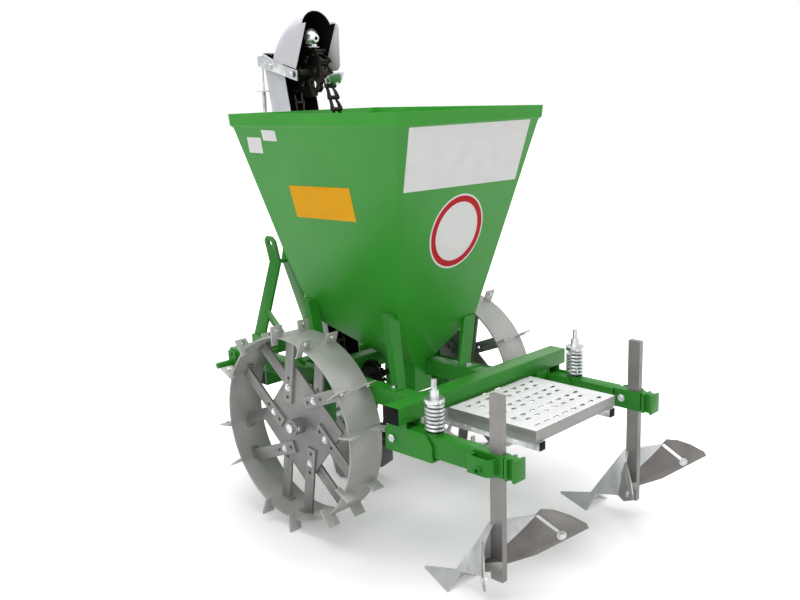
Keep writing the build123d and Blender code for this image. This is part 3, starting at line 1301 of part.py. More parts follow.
def spring():
    """Envelope of the coil, from the arm's seat to the rod's cup."""
    bottom = ARM_TOP_Z + SEAT_THICKNESS
    coil = rod_z(ARM_X, SPRING_Y, bottom, SPRING_TOP_Z, SPRING_RADIUS)
    bore = SPRING_RADIUS - SPRING_WIRE
    return coil - rod_z(ARM_X, SPRING_Y, bottom - CUT, SPRING_TOP_Z + CUT, bore)


def hiller_shank():
    """Flat bar that carries the ridger."""
    y = (SHANK_REAR_Y, SHANK_FRONT_Y)
    return block(around(ARM_X, SHANK_THICKNESS), y, (SHANK_BOTTOM_Z, SHANK_TOP_Z))


def nose_y(z):
    """Leading edge of the nose at a height."""
    share = (z - NOSE_LOW_Z) / (NOSE_TOP_Z - NOSE_LOW_Z)
    return NOSE_LOW_Y + share * (NOSE_TOP_Y - NOSE_LOW_Y)


def wing_front_y(offset):
    """Front face of the wings, at a distance from the arm's plane."""
    return WING_ROOT_Y - offset * math.tan(math.radians(WING_ANGLE))


def nose_section(z, half):
    """Level cut through the nose plates, which end on the wings' front faces."""
    tip = nose_y(z)
    end = wing_front_y(half)
    points = (
        (ARM_X, tip),
        (ARM_X + half, end),
        (ARM_X + half, end - NOSE_PLATE),
        (ARM_X, tip - 2 * NOSE_PLATE),
        (ARM_X - half, end - NOSE_PLATE),
        (ARM_X - half, end),
    )
    return Pos(0, 0, z) * Polygon(*points, align=None)


def share_solid(drop):
    """Arrow-shaped share, lowered by a plate's thickness for its underside."""
    faces = []
    ends = (
        (SHARE_REAR_Y, SHARE_HALF_WIDTH, SHARE_HEIGHT),
        (SHARE_TIP_Y, SHARE_TIP_HALF_WIDTH, SHARE_TIP_HEIGHT),
    )
    for y, half, height in ends:
        plane = Plane(origin=(ARM_X, y, -drop), x_dir=(1, 0, 0), z_dir=(0, -1, 0))
        faces.append(plane * Polygon((-half, 0), (half, 0), (0, height), align=None))
    return loft(faces, ruled=True)


def hiller_nose():
    """Share and nose plates, welded to the shank by the frog between them."""
    sections = [nose_section(NOSE_LOW_Z, NOSE_LOW_HALF), nose_section(NOSE_TOP_Z, NOSE_TOP_HALF)]
    nose = loft(sections, ruled=True) - hiller_shank()
    below = (
        (SHARE_REAR_Y, SHARE_HEIGHT - SHARE_PLATE),
        (NOSE_HEEL_Y, NOSE_HEEL_Z),
        (SHANK_REAR_Y, NOSE_HEEL_Z),
        (SHANK_REAR_Y, 0),
        (SHARE_REAR_Y, 0),
    )
    nose -= prism_x(below, 0, 2 * ARM_X)
    behind = wing_plate(SHANK_TOP_Z, WING_SEAT_GAP)
    nose -= Pos(ARM_X, 0, 0) * (behind + mirrored(behind))
    nose = max(nose.solids(), key=lambda solid: solid.volume)
    nose += share_solid(0) - share_solid(SHARE_PLATE)
    frog = (
        (SHANK_FRONT_Y, FROG_BOTTOM_Z),
        (SHANK_FRONT_Y, FROG_TOP_Z),
        (nose_y(FROG_TOP_Z) - FROG_SINK, FROG_TOP_Z),
        (nose_y(FROG_BOTTOM_Z) - FROG_SINK, FROG_BOTTOM_Z),
    )
    return nose + prism_x(frog, ARM_X - FROG_HALF_WIDTH, ARM_X + FROG_HALF_WIDTH)


def wing_plane(gap):
    """Plane of the right wing's front face or a gap before it, for an arm in the middle plane."""
    turn = math.radians(WING_ANGLE)
    to_the_back = Vector(-math.sin(turn), -math.cos(turn), 0)
    origin = Vector(0, WING_ROOT_Y, 0) - to_the_back * gap
    return Plane(origin=origin, x_dir=(math.cos(turn), -math.sin(turn), 0), z_dir=to_the_back)


def wing_plate(thickness, gap):
    """Right wing without its slot, grown by a gap to the front and all round."""
    outline = [(along * WING_REACH, height * WING_TOP_Z) for _, along, height in WING_OUTLINE_SHARES]
    face = Polygon(*outline, align=None)
    if gap:
        face = offset(face, gap, kind=Kind.INTERSECTION)
    plane = wing_plane(gap)
    return extrude(plane * face, amount=thickness, dir=plane.z_dir)


def hiller_wings():
    """Two splayed wings with adjusting slots, tied to the shank by stays."""
    turn = math.radians(WING_ANGLE)
    wings = []
    along_share, height_share = WING_SLOT_PLACE_SHARES
    slot_place = Pos(along_share * WING_REACH, height_share * WING_TOP_Z)
    slot = slot_place * Rot(0, 0, WING_SLOT_SLOPE) * SlotOverall(WING_SLOT_LENGTH, WING_SLOT_WIDTH)
    wing = wing_plate(WING_THICKNESS, 0) - extrude(wing_plane(0) * slot, amount=WING_THICKNESS)
    back = WING_THICKNESS / math.cos(turn)
    half = SHANK_THICKNESS / 2
    far = (SHANK_FRONT_Y - SHANK_REAR_Y) + half
    stay = (
        (half, SHANK_FRONT_Y),
        (half, SHANK_REAR_Y),
        (far, wing_front_y(far) - back),
        (far - half, wing_front_y(far - half) - back),
    )
    wing += prism_z(stay, WING_STAY_Z, WING_STAY_Z + WING_STAY_HEIGHT)
    for shape in (wing, mirrored(wing)):
        wings.append(Pos(ARM_X, 0, 0) * shape)
    return wings


# Platform


def platform_bottom():
    """Lower edge of the platform's skirt."""
    return PLATFORM_TOP_Z - PLATFORM_SKIRT


def platform_tube_x(side):
    """Sides of one of the tubes under the platform."""
    return around(side * PLATFORM_TUBE_X, PLATFORM_TUBE)


def platform():
    """Perforated tray with a turned-down skirt."""
    half = PLATFORM_HALF_WIDTH
    y = (PLATFORM_REAR_Y, PLATFORM_FRONT_Y)
    tray = block((-half, half), y, (platform_bottom(), PLATFORM_TOP_Z))
    inner_y = (y[0] + SHEET, y[1] - SHEET)
    room_z = (platform_bottom() - CUT, PLATFORM_TOP_Z - SHEET)
    tray -= block((SHEET - half, half - SHEET), inner_y, room_z)
    holes = []
    z = (PLATFORM_TOP_Z - CUT, PLATFORM_TOP_Z + CUT)
    for row in range(PLATFORM_HOLE_ROWS):
        place_y = sum(y) / 2 + (row - (PLATFORM_HOLE_ROWS - 1) / 2) * PLATFORM_HOLE_PITCH_Y
        shift = (row % 2) / 2
        other_half = (place_y - CUT, place_y) if row % 2 else (place_y, place_y + CUT)
        for column in range(PLATFORM_HOLE_COLUMNS - row % 2):
            place_x = (column + shift - (PLATFORM_HOLE_COLUMNS - 1) / 2) * PLATFORM_HOLE_PITCH_X
            hole = rod_z(place_x, place_y, *z, PLATFORM_HOLE_RADIUS)
            holes.append(hole - block(around(place_x, 2 * CUT), other_half, z))
    return tray - holes


def platform_arms():
    """Tubes under the platform, hung from the rear beam."""
    z = (platform_bottom() - PLATFORM_TUBE, platform_bottom())
    arms = []
    for side in (-1, 1):
        x = platform_tube_x(side)
        tube = tube_y(x, (PLATFORM_TUBE_REAR_Y, PLATFORM_TUBE_FRONT_Y), z, PLATFORM_TUBE_WALL)
        hanger = block(x, (REAR_BEAM_REAR_Y, REAR_BEAM_FRONT_Y), (platform_bottom(), FRAME_BOTTOM))
        arms.append(tube + hanger)
    return arms


def save_pairs():
    """Pieces that stand on both sides of the machine."""
    one_node_for_each_side = (
        ("wheel_rim", [wheel_rim()]),
        ("wheel_spokes", [wheel_spokes()]),
        ("arm", [arm()]),
        ("spring", [spring()]),
        ("hiller_shank", [hiller_shank()]),
        ("hiller_nose", [hiller_nose()]),
        ("hiller_wings", hiller_wings()),
    )
    for name, shapes in one_node_for_each_side:
        save(f"{name}_right", *shapes)
        save(f"{name}_left", *[mirrored(shape) for shape in shapes])
    one_node_for_both_sides = (
        ("arm_brackets", arm_bracket()),
        ("pivot_bolts", pivot_bolt()),
        ("spring_rods", spring_rod()),
    )
    for name, shape in one_node_for_both_sides:
        save(name, shape, mirrored(shape))


os.makedirs("parts", exist_ok=True)
save("rear_beam", rear_beam())
save("left_rail", left_rail())
save("right_rail", right_rail())
save("cross_beams", *cross_beams())
save("neck_tube", neck_tube())
save("opener_beam", opener_beam())
save("tube_caps", *tube_caps())
save("mast_uprights", mast_uprights())
save("mast_stays", mast_stay(-1, LEFT_STAY_FOOT_Y), mast_stay(1, RIGHT_STAY_FOOT_Y))
save("lower_link_brackets", *link_brackets())
save("lower_link_pins", *link_pins())
save("hopper", hopper())
save("hopper_posts", *hopper_posts())
save("cup_chain", cup_chain())
save("cups", *cups())
save("elevator_shafts", *elevator_shafts())
save("drive_sprocket", drive_sprocket())
save("drive_chain", drive_chain())
save("elevator_channel", elevator_channel())
save("elevator_hood", elevator_hood())
save("chain_guard", chain_guard())
save("tension_strap", tension_strap())
save("tension_spring", tension_spring())
save("opener", opener())
save("axle", axle())
save("axle_bearings", *axle_bearings())
save("platform", platform())
save("platform_arms", *platform_arms())
save_pairs()
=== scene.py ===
"""Looks of the potato planter: finishes, fasteners, chains, springs, signs and studio."""
import json
import logging
import math
from collections.abc import Callable, Iterator
from dataclasses import dataclass, field
from enum import Enum

import bmesh
import bpy
from mathutils import Matrix, Vector

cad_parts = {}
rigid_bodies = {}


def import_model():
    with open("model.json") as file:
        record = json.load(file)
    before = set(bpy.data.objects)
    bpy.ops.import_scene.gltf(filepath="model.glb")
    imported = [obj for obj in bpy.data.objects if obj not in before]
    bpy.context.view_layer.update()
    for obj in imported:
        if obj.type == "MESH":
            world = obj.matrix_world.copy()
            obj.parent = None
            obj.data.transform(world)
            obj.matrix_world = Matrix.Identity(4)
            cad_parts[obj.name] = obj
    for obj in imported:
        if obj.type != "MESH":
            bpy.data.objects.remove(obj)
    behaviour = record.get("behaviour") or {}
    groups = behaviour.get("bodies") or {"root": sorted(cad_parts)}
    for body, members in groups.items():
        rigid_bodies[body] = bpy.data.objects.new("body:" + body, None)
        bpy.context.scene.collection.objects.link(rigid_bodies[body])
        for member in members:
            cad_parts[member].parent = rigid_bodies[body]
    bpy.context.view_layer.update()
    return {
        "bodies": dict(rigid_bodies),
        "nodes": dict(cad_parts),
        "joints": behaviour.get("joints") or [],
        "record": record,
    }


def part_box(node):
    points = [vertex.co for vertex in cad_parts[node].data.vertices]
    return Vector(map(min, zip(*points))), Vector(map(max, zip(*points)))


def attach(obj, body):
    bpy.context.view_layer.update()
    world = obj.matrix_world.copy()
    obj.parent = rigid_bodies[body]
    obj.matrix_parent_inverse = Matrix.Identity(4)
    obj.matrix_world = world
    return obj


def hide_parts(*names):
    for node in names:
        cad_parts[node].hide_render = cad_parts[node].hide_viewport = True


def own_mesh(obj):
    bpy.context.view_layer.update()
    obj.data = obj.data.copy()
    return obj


LOG = logging.getLogger("potato_planter")
MM = 0.001
FULL_TURN = 2 * math.pi
Colour = tuple[float, float, float, float]
Triple = tuple[float, float, float]
Corners = tuple[tuple[float, float], ...]
Values = dict[object, object]
Socket = bpy.types.NodeSocket
Mesh = bpy.types.Mesh
Piece = bpy.types.Object
Shape = bmesh.types.BMesh
Wall = tuple[Vector, Vector]
RECORD_SLOTS: set[str] = set()


def srgb(red: int, green: int, blue: int) -> Colour:
    """Turn a screen colour into the linear one that shaders take.

    Args:
        red: Red, 0 to 255.
        green: Green, 0 to 255.
        blue: Blue, 0 to 255.

    Returns:
        The linear colour with full alpha.
    """
    shares = [value / 255 for value in (red, green, blue)]
    linear = [s / 12.92 if s <= 0.04045 else ((s + 0.055) / 1.055) ** 2.4 for s in shares]
    return linear[0], linear[1], linear[2], 1.0


class Signal:
    """A shader socket that can be added to, scaled and clamped like a number."""

    def __init__(self, sheet: "FinishSheet", socket: Socket) -> None:
        """Keep the socket and the sheet that its nodes are added to."""
        self.sheet = sheet
        self.socket = socket

    def _maths(self, operation: str, other: object) -> "Signal":
        """Add one Math node."""
        return self.sheet.signal("ShaderNodeMath", {0: self, 1: other}, operation=operation)

    def __add__(self, other: object) -> "Signal":
        """Sum."""
        return self._maths("ADD", other)

    def __mul__(self, other: object) -> "Signal":
        """Product."""
        return self._maths("MULTIPLY", other)

    def spread(self, low: float, high: float) -> "Signal":
        """Stretch the range from low to high over 0 to 1 and clamp it."""
        return self.sheet.signal("ShaderNodeMapRange", {0: self, 1: low, 2: high}, clamp=True)


def feed(tree: bpy.types.NodeTree, socket: Socket, value: object) -> None:
    """Link a signal or a socket to a socket, or write a plain value on it."""
    if isinstance(value, Signal):
        value = value.socket
    if isinstance(value, Socket):
        tree.links.new(value, socket)
    else:
        socket.default_value = value


def add_node(tree: bpy.types.NodeTree, kind: str, inputs: Values, **settings: object) -> bpy.types.Node:
    """Add a node to a tree.

    Args:
        tree: The tree.
        kind: The node's type.
        inputs: Values or links of its sockets, by name or number.
        **settings: Its own settings, set first.

    Returns:
        The node.
    """
    node = tree.nodes.new(kind)
    for key, value in settings.items():
        setattr(node, key, value)
    for key, value in inputs.items():
        feed(tree, node.inputs[key], value)
    return node


class FinishSheet:
    """The node tree of one material."""

    def __init__(self, name: str) -> None:
        """Make the material with an empty Principled shader."""
        self.material = bpy.data.materials.new(name)
        self.material.use_nodes = True
        self.tree = self.material.node_tree
        self.tree.nodes.clear()
        self.shader = self.node("ShaderNodeBsdfPrincipled", {})
        self.node("ShaderNodeOutputMaterial", {"Surface": self.shader.outputs[0]})
        self.place = Signal(self, self.node("ShaderNodeTexCoord", {}).outputs["Object"])

    def node(self, kind: str, inputs: Values, **settings: object) -> bpy.types.Node:
        """Add a node."""
        return add_node(self.tree, kind, inputs, **settings)

    def signal(self, kind: str, inputs: Values, output: int = 0, **settings: object) -> Signal:
        """Add a node and return one of its outputs as a signal."""
        return Signal(self, self.node(kind, inputs, **settings).outputs[output])

    def cloud(self, scale: float, detail: float, stretch: Triple = (1, 1, 1)) -> Signal:
        """Noise in the object's own space.

        Args:
            scale: Spots for each metre.
            detail: Octaves.
            stretch: Scale along each axis, for brushed marks.

        Returns:
            Values about 0.5.
        """
        place = self.place
        if stretch != (1, 1, 1):
            place = self.signal("ShaderNodeMapping", {"Vector": place, "Scale": stretch})
        return self.signal("ShaderNodeTexNoise", {"Vector": place, "Scale": scale, "Detail": detail})

    def blend(self, share: object, first: object, second: object) -> Signal:
        """Mix two colours by a share."""
        return self.signal("ShaderNodeMix", {0: share, 6: first, 7: second}, 2, data_type="RGBA")

    def edges(self, low: float, high: float) -> Signal:
        """Convex edges as 1, flats as 0."""
        return self.signal("ShaderNodeNewGeometry", {}, 7).spread(low, high)

    def relief(self, height: Signal, depth: float) -> None:
        """Feed a bump of a depth in metres to the shader."""
        bump = self.signal("ShaderNodeBump", {"Height": height, "Distance": depth, "Strength": 1.0})
        feed(self.tree, self.shader.inputs["Normal"], bump)

    def finish(self, **sockets: object) -> bpy.types.Material:
        """Write the shader's sockets, an underscore standing for a space, and return the material."""
        for name, value in sockets.items():
            feed(self.tree, self.shader.inputs[name.replace("_", " ")], value)
        return self.material


@dataclass(frozen=True)
class PaintFinish:
    """Sprayed paint: even colour with faint clouds, soft skin and slightly worn edges."""

    name: str
    colour: Colour
    shade: Colour
    edge: Colour
    roughness: float = 0.3
    metallic: float = 0.0
    coat: float = 0.3
    cloud_scale: float = 6.0
    skin_scale: float = 420.0
    skin_depth: float = 0.000015
    edge_share: float = 0.35
    gloss: float = 0.22

    def make(self) -> bpy.types.Material:
        """Build the material."""
        sheet = FinishSheet(self.name)
        clouds = sheet.cloud(self.cloud_scale, 5).spread(0.3, 0.75)
        specks = sheet.cloud(self.skin_scale / 4, 3)
        body = sheet.blend(clouds * 0.8 + specks * 0.2, self.colour, self.shade)
        worn = sheet.edges(0.53, 0.62) * self.edge_share
        sheet.relief(sheet.cloud(self.skin_scale, 2), self.skin_depth)
        return sheet.finish(
            Base_Color=sheet.blend(worn, body, self.edge),
            Roughness=specks * 0.16 + clouds * 0.06 + (self.roughness - 0.11),
            Metallic=self.metallic,
            Coat_Weight=self.coat,
            Coat_Roughness=0.12,
            Specular_IOR_Level=self.gloss,
        )


@dataclass(frozen=True)
class BareMetalFinish:
    """Rolled steel: long faint marks, mill stains and bright edges."""

    name: str
    colour: Colour
    shade: Colour
    edge: Colour
    roughness: float = 0.42
    metallic: float = 0.75
    stain_scale: float = 14.0
    grain_scale: float = 160.0
    stretch: Triple = (1, 1, 0.12)

    def make(self) -> bpy.types.Material:
        """Build the material."""
        sheet = FinishSheet(self.name)
        stains = sheet.cloud(self.stain_scale, 6).spread(0.35, 0.68)
        marks = sheet.cloud(self.grain_scale, 4, self.stretch)
        body = sheet.blend(stains * 0.7 + marks * 0.3, self.colour, self.shade)
        sheet.relief(marks, 0.00008)
        return sheet.finish(
            Base_Color=sheet.blend(sheet.edges(0.52, 0.6) * 0.7, body, self.edge),
            Roughness=marks * 0.22 + stains * 0.12 + (self.roughness - 0.17),
            Metallic=self.metallic,
        )


@dataclass(frozen=True)
class ZincFinish:
    """Zinc plating: angular flakes that differ in brightness and gloss."""

    name: str
    colour: Colour
    shade: Colour
    roughness: float = 0.3
    flake_scale: float = 55.0

    def make(self) -> bpy.types.Material:
        """Build the material."""
        sheet = FinishSheet(self.name)
        flakes = {"Vector": sheet.place, "Scale": self.flake_scale}
        cells = sheet.signal("ShaderNodeTexVoronoi", flakes, 1)
        tone = sheet.signal("ShaderNodeSeparateColor", {0: cells})
        haze = sheet.cloud(30, 4)
        body = sheet.blend(tone * 0.65 + haze * 0.35, self.colour, self.shade)
        sheet.relief(haze, 0.00005)
        return sheet.finish(
            Base_Color=body,
            Roughness=tone * 0.14 + haze * 0.1 + (self.roughness - 0.1),
            Metallic=0.9,
        )


@dataclass(frozen=True)
class SheenFinish:
    """Plain moulded plastic, oiled steel or vinyl with a fine grain."""

    name: str
    colour: Colour
    shade: Colour
    roughness: float = 0.5
    metallic: float = 0.0
    grain_scale: float = 300.0
    grain_depth: float = 0.00005
    gloss: float = 0.08

    def make(self) -> bpy.types.Material:
        """Build the material."""
        sheet = FinishSheet(self.name)
        grain = sheet.cloud(self.grain_scale, 3)
        clouds = sheet.cloud(18, 4).spread(0.35, 0.7)
        sheet.relief(grain, self.grain_depth)
        return sheet.finish(
            Base_Color=sheet.blend(clouds * 0.7 + grain * 0.3, self.colour, self.shade),
            Roughness=grain * 0.2 + (self.roughness - 0.1),
            Metallic=self.metallic,
            Specular_IOR_Level=self.gloss,
        )


class Finish(Enum):
    """Every finish on the machine, each with the record's slot that it stands for."""

    GREEN = "green_paint", PaintFinish(
        "green_powder_coat", srgb(54, 160, 46), srgb(48, 150, 41), srgb(92, 178, 80),
        roughness=0.34, coat=0.06, gloss=0.2,
    )
    # painted shade: a darker copy of the hopper's green paint, for the frame's green parts, which lie lower in
    # more shade
    FRAME_GREEN = "green_paint", PaintFinish(
        "green_frame_coat", srgb(44, 136, 38), srgb(39, 126, 34), srgb(84, 166, 74),
        roughness=0.36, coat=0.05, gloss=0.2,
    )
    SILVER = "wheel_steel", PaintFinish(
        "silver_wheel_paint", srgb(146, 146, 143), srgb(119, 120, 118), srgb(190, 190, 188),
        roughness=0.42, metallic=0.45, coat=0.0, cloud_scale=9.0, edge_share=0.6,
    )
    # painted light: a lighter copy of the silver wheel paint, for the bands of the wheels, standing for the
    # light that they catch
    BAND = "wheel_steel", PaintFinish(
        "silver_band_paint", srgb(182, 182, 179), srgb(156, 157, 154), srgb(212, 212, 210),
        roughness=0.45, metallic=0.3, coat=0.0, cloud_scale=9.0, edge_share=0.6,
    )
    GUARD = "wheel_steel", PaintFinish(
        "galvanised_guard_sheet", srgb(222, 222, 220), srgb(204, 205, 203), srgb(238, 238, 236),
        roughness=0.5, metallic=0.1, coat=0.0, cloud_scale=20.0,
    )
    PALE = "pale_steel", PaintFinish(
        "pale_elevator_paint", srgb(216, 216, 221), srgb(198, 198, 206), srgb(232, 232, 236),
        roughness=0.4, metallic=0.1, coat=0.05,
    )
    RIDGER = "ridger_steel", BareMetalFinish(
        "rolled_nose_steel", srgb(222, 224, 224), srgb(190, 191, 192), srgb(240, 240, 240), metallic=0.5,
    )
    WING = "ridger_steel", BareMetalFinish(
        "dark_wing_steel", srgb(120, 116, 113), srgb(97, 94, 92), srgb(168, 166, 164), metallic=0.5,
    )
    ZINC = "zinc_plate", ZincFinish("zinc_plating", srgb(226, 228, 228), srgb(168, 172, 174))
    # painted light: a near-white copy of the platform's steel for its lit top; the platform's other faces get
    # the darker silver paint
    DECK = "zinc_plate", PaintFinish(
        "bright_deck_steel", srgb(246, 246, 246), srgb(232, 233, 234), srgb(252, 252, 252),
        roughness=0.38, metallic=0.05, coat=0.1, cloud_scale=16.0,
    )
    PLASTIC = "black_plastic", SheenFinish("black_plug_plastic", srgb(14, 15, 15), srgb(24, 25, 25))
    CHAIN = "dark_chain", SheenFinish(
        "oiled_chain_steel", srgb(62, 56, 53), srgb(34, 31, 30), roughness=0.36, metallic=0.8,
    )
    # black for the inward faces of the elevator's hood and channel, where their insides look dark
    LINER = "black_paint", SheenFinish("black_inner_paint", srgb(17, 17, 19), srgb(27, 27, 30), roughness=0.45)
    WHITE_VINYL = "white_label", SheenFinish(
        "white_vinyl", srgb(244, 244, 242), srgb(236, 236, 235), roughness=0.35,
    )
    YELLOW_VINYL = "yellow_label", SheenFinish(
        "yellow_vinyl", srgb(244, 178, 30), srgb(238, 168, 26), roughness=0.35,
    )
    RED_VINYL = "red_label", SheenFinish("red_vinyl", srgb(200, 32, 38), srgb(190, 28, 34), roughness=0.35)

    @property
    def slot(self) -> str:
        """The record's material slot."""
        return self.value[0]

    @property
    def material(self) -> bpy.types.Material:
        """The Blender material, made on first use."""
        look = self.value[1]
        return bpy.data.materials.get(look.name) or look.make()


def show(name: str, data: bpy.types.ID) -> Piece:
    """Put a new object with some data in the scene."""
    obj = bpy.data.objects.new(name, data)
    bpy.context.scene.collection.objects.link(obj)
    return obj


class Recipe:
    """One Geometry Nodes tree with named inputs."""

    def __init__(self, name: str) -> None:
        """Make the tree with its geometry sockets."""
        self.tree = bpy.data.node_groups.new(name, "GeometryNodeTree")
        self.sockets: dict[str, str] = {}
        self.tree.interface.new_socket("Geometry", in_out="INPUT", socket_type="NodeSocketGeometry")
        self.tree.interface.new_socket("Geometry", in_out="OUTPUT", socket_type="NodeSocketGeometry")
        self.entry = self.tree.nodes.new("NodeGroupInput")
        self.exit = self.tree.nodes.new("NodeGroupOutput")

    def take(self, name: str, kind: str = "Float") -> Socket:
        """Add a named input and return its socket inside the tree."""
        item = self.tree.interface.new_socket(name, in_out="INPUT", socket_type=f"NodeSocket{kind}")
        self.sockets[name] = item.identifier
        return self.entry.outputs[name]

    def node(self, kind: str, inputs: Values, output: object = 0, **settings: object) -> Socket:
        """Add a node and return one of its outputs."""
        return add_node(self.tree, kind, inputs, **settings).outputs[output]

    def maths(self, operation: str, first: object, second: object) -> Socket:
        """Add a Math node."""
        return self.node("ShaderNodeMath", {0: first, 1: second}, operation=operation)

    def attribute(self, name: str, kind: str) -> Socket:
        """Read a named attribute of each point."""
        return self.node("GeometryNodeInputNamedAttribute", {"Name": name}, data_type=kind)

    def moved(self, geometry: Socket, offset: object) -> Socket:
        """Move a geometry by an offset."""
        return self.node("GeometryNodeTransform", {0: geometry, "Translation": offset})

    def scatter(self, points: Socket, shape: Socket, turn: Socket, scale: object) -> Socket:
        """Put a copy of a shape on every point."""
        inputs = {"Points": points, "Instance": shape, "Rotation": turn, "Scale": scale}
        return self.node("GeometryNodeInstanceOnPoints", inputs)

    def close(self, geometry: Socket, finish: Finish) -> None:
        """End the tree in Realize Instances and Set Material."""
        real = self.node("GeometryNodeRealizeInstances", {0: geometry})
        dressed = self.node("GeometryNodeSetMaterial", {0: real, "Material": finish.material})
        self.tree.links.new(dressed, self.exit.inputs[0])

    def run(self, name: str, carrier: Mesh, **values: float) -> Piece:
        """Run the tree on a mesh.

        Args:
            name: The new piece's name.
            carrier: The mesh that goes in.
            **values: The named inputs, an underscore standing for a space.

        Returns:
            A plain mesh object.
        """
        obj = show(name, carrier)
        modifier = obj.modifiers.new("recipe", "NODES")
        modifier.node_group = self.tree
        for key, value in values.items():
            modifier[self.sockets[key.replace("_", " ")]] = value
        bpy.context.view_layer.update()
        evaluated = obj.evaluated_get(bpy.context.evaluated_depsgraph_get())
        mesh = bpy.data.meshes.new_from_object(evaluated)
        obj.modifiers.clear()
        obj.data = mesh
        return obj


def mesh_from(name: str, shape: Shape) -> Mesh:
    """Turn a bmesh into a mesh and free it."""
    mesh = bpy.data.meshes.new(name)
    shape.normal_update()
    shape.to_mesh(mesh)
    shape.free()
    return mesh


def bridge(shape: Shape, first: list, second: list) -> None:
    """Join two closed rows of as many corners by four-sided faces."""
    for index in range(len(first)):
        after = (index + 1) % len(first)
        shape.faces.new((first[index], first[after], second[after], second[index]))


def soften(mesh: Mesh, angle: float = 35.0) -> None:
    """Shade a mesh smooth, but keep edges sharper than an angle in degrees."""
    mesh.polygons.foreach_set("use_smooth", [True] * len(mesh.polygons))
    mesh.set_sharp_from_angle(angle=math.radians(angle))


def add_piece(name: str, mesh: Mesh, finish: Finish, body: str) -> Piece:
    """Show a mesh as a piece of one finish that rides on a body.

    Args:
        name: The piece's name.
        mesh: Its mesh, in the machine's own frame.
        finish: Its finish.
        body: The body that carries it.

    Returns:
        The piece.
    """
    piece = show(name, mesh)
    mesh.materials.clear()
    mesh.materials.append(finish.material)
    return carry(piece, finish, body)


def carry(piece: Piece, finish: Finish, body: str) -> Piece:
    """Let a piece ride on a body and log its face count."""
    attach(piece, body)
    if finish.slot in RECORD_SLOTS:
        finish.slot
    LOG.info("%s on %s: %d faces", piece.name, body, len(piece.data.polygons))
    return piece


@dataclass(frozen=True)
class Fastener:
    """Where a bolt sits, which way its head points and how large it is."""

    place: Vector
    facing: Vector
    size: float


class FastenerSet:
    """Hex bolts with washers, or flat round rivets, made by one tree for each kind."""

    TIP_SHARE = 0.25
    TIP_RADIUS = 0.86
    WASHER_SIDES = 20
    WASHER_HEIGHT = 0.16
    WASHER_LIFT = 0.06

    def __init__(self, name: str, head_sides: int, head_height: float, washer_share: float) -> None:
        """Build the tree for heads of one metre radius, which each point then scales.

        Args:
            name: The tree's name.
            head_sides: Sides of the head.
            head_height: Its height in head radii.
            washer_share: The washer's radius in head radii.
        """
        recipe = Recipe(name)
        sides = recipe.take("Head sides", "Int")
        height = recipe.take("Head height")
        washer = recipe.take("Washer radius")
        barrel_share = 1 - self.TIP_SHARE
        tip = recipe.node("GeometryNodeMeshCone", {
            "Vertices": sides, "Radius Top": self.TIP_RADIUS, "Radius Bottom": 1.0,
            "Depth": recipe.maths("MULTIPLY", height, self.TIP_SHARE),
        })
        barrel = recipe.node("GeometryNodeMeshCylinder", {
            "Vertices": sides, "Radius": 1.0, "Depth": recipe.maths("MULTIPLY", height, barrel_share),
        })
        ring = recipe.node("GeometryNodeMeshCylinder", {
            "Vertices": self.WASHER_SIDES, "Radius": washer, "Depth": self.WASHER_HEIGHT,
        })
        top = head_height * barrel_share
        join = recipe.tree.nodes.new("GeometryNodeJoinGeometry")
        for part, lift in ((ring, self.WASHER_LIFT), (barrel, top / 2), (tip, top)):
            recipe.tree.links.new(recipe.moved(part, (0, 0, lift)), join.inputs[0])
        facing = recipe.attribute("facing", "FLOAT_VECTOR")
        size = recipe.attribute("size", "FLOAT")
        turn = recipe.node("FunctionNodeAlignRotationToVector", {"Vector": facing}, axis="Z")
        recipe.close(recipe.scatter(recipe.entry.outputs[0], join.outputs[0], turn, size), Finish.ZINC)
        self.recipe = recipe
        self.values = {"Head_sides": head_sides, "Head_height": head_height, "Washer_radius": washer_share}

    def place(self, name: str, spots: list[Fastener], body: str) -> Piece:
        """Put a fastener on every spot of one body.

        Args:
            name: The piece's name.
            spots: Where the fasteners sit.
            body: The body that carries them.

        Returns:
            The joined piece.
        """
        carrier = bpy.data.meshes.new(name)
        carrier.from_pydata([spot.place for spot in spots], [], [])
        carrier.attributes.new("facing", "FLOAT_VECTOR", "POINT")
        carrier.attributes.new("size", "FLOAT", "POINT")
        for index, spot in enumerate(spots):
            carrier.attributes["facing"].data[index].vector = spot.facing
            carrier.attributes["size"].data[index].value = spot.size
        piece = self.recipe.run(name, carrier, **self.values)
        return carry(piece, Finish.ZINC, body)


@dataclass
class Belt:
    """Closed line round a convex ring of rollers in the machine's middle plane."""

    rollers: list[tuple[float, float, float]]
    steps_for_each_turn: int = 72

    def points(self, rise: float) -> Iterator[tuple[float, float]]:
        """Corner points at a rise over the rollers.

        Args:
            rise: Distance outside the rollers, in metres.

        Yields:
            Places as (y, z), arcs divided evenly.
        """
        normals = []
        for index, (y, z, radius) in enumerate(self.rollers):
            next_y, next_z, next_radius = self.rollers[(index + 1) % len(self.rollers)]
            heading = math.atan2(next_z - z, next_y - y)
            normals.append(heading - math.acos((radius - next_radius) / math.hypot(next_y - y, next_z - z)))
        for index, (y, z, radius) in enumerate(self.rollers):
            sweep = (normals[index] - normals[index - 1]) % FULL_TURN
            steps = max(2, round(self.steps_for_each_turn * sweep / FULL_TURN))
            for step in range(steps + 1):
                angle = normals[index - 1] + sweep * step / steps
                yield y + (radius + rise) * math.cos(angle), z + (radius + rise) * math.sin(angle)

    def carrier(self, name: str, rise: float) -> Mesh:
        """The closed line as a mesh of edges, at x = 0."""
        points = [Vector((0, y, z)) for y, z in self.points(rise)]
        edges = [(index, (index + 1) % len(points)) for index in range(len(points))]
        mesh = bpy.data.meshes.new(name)
        mesh.from_pydata(points, edges, [])
        return mesh


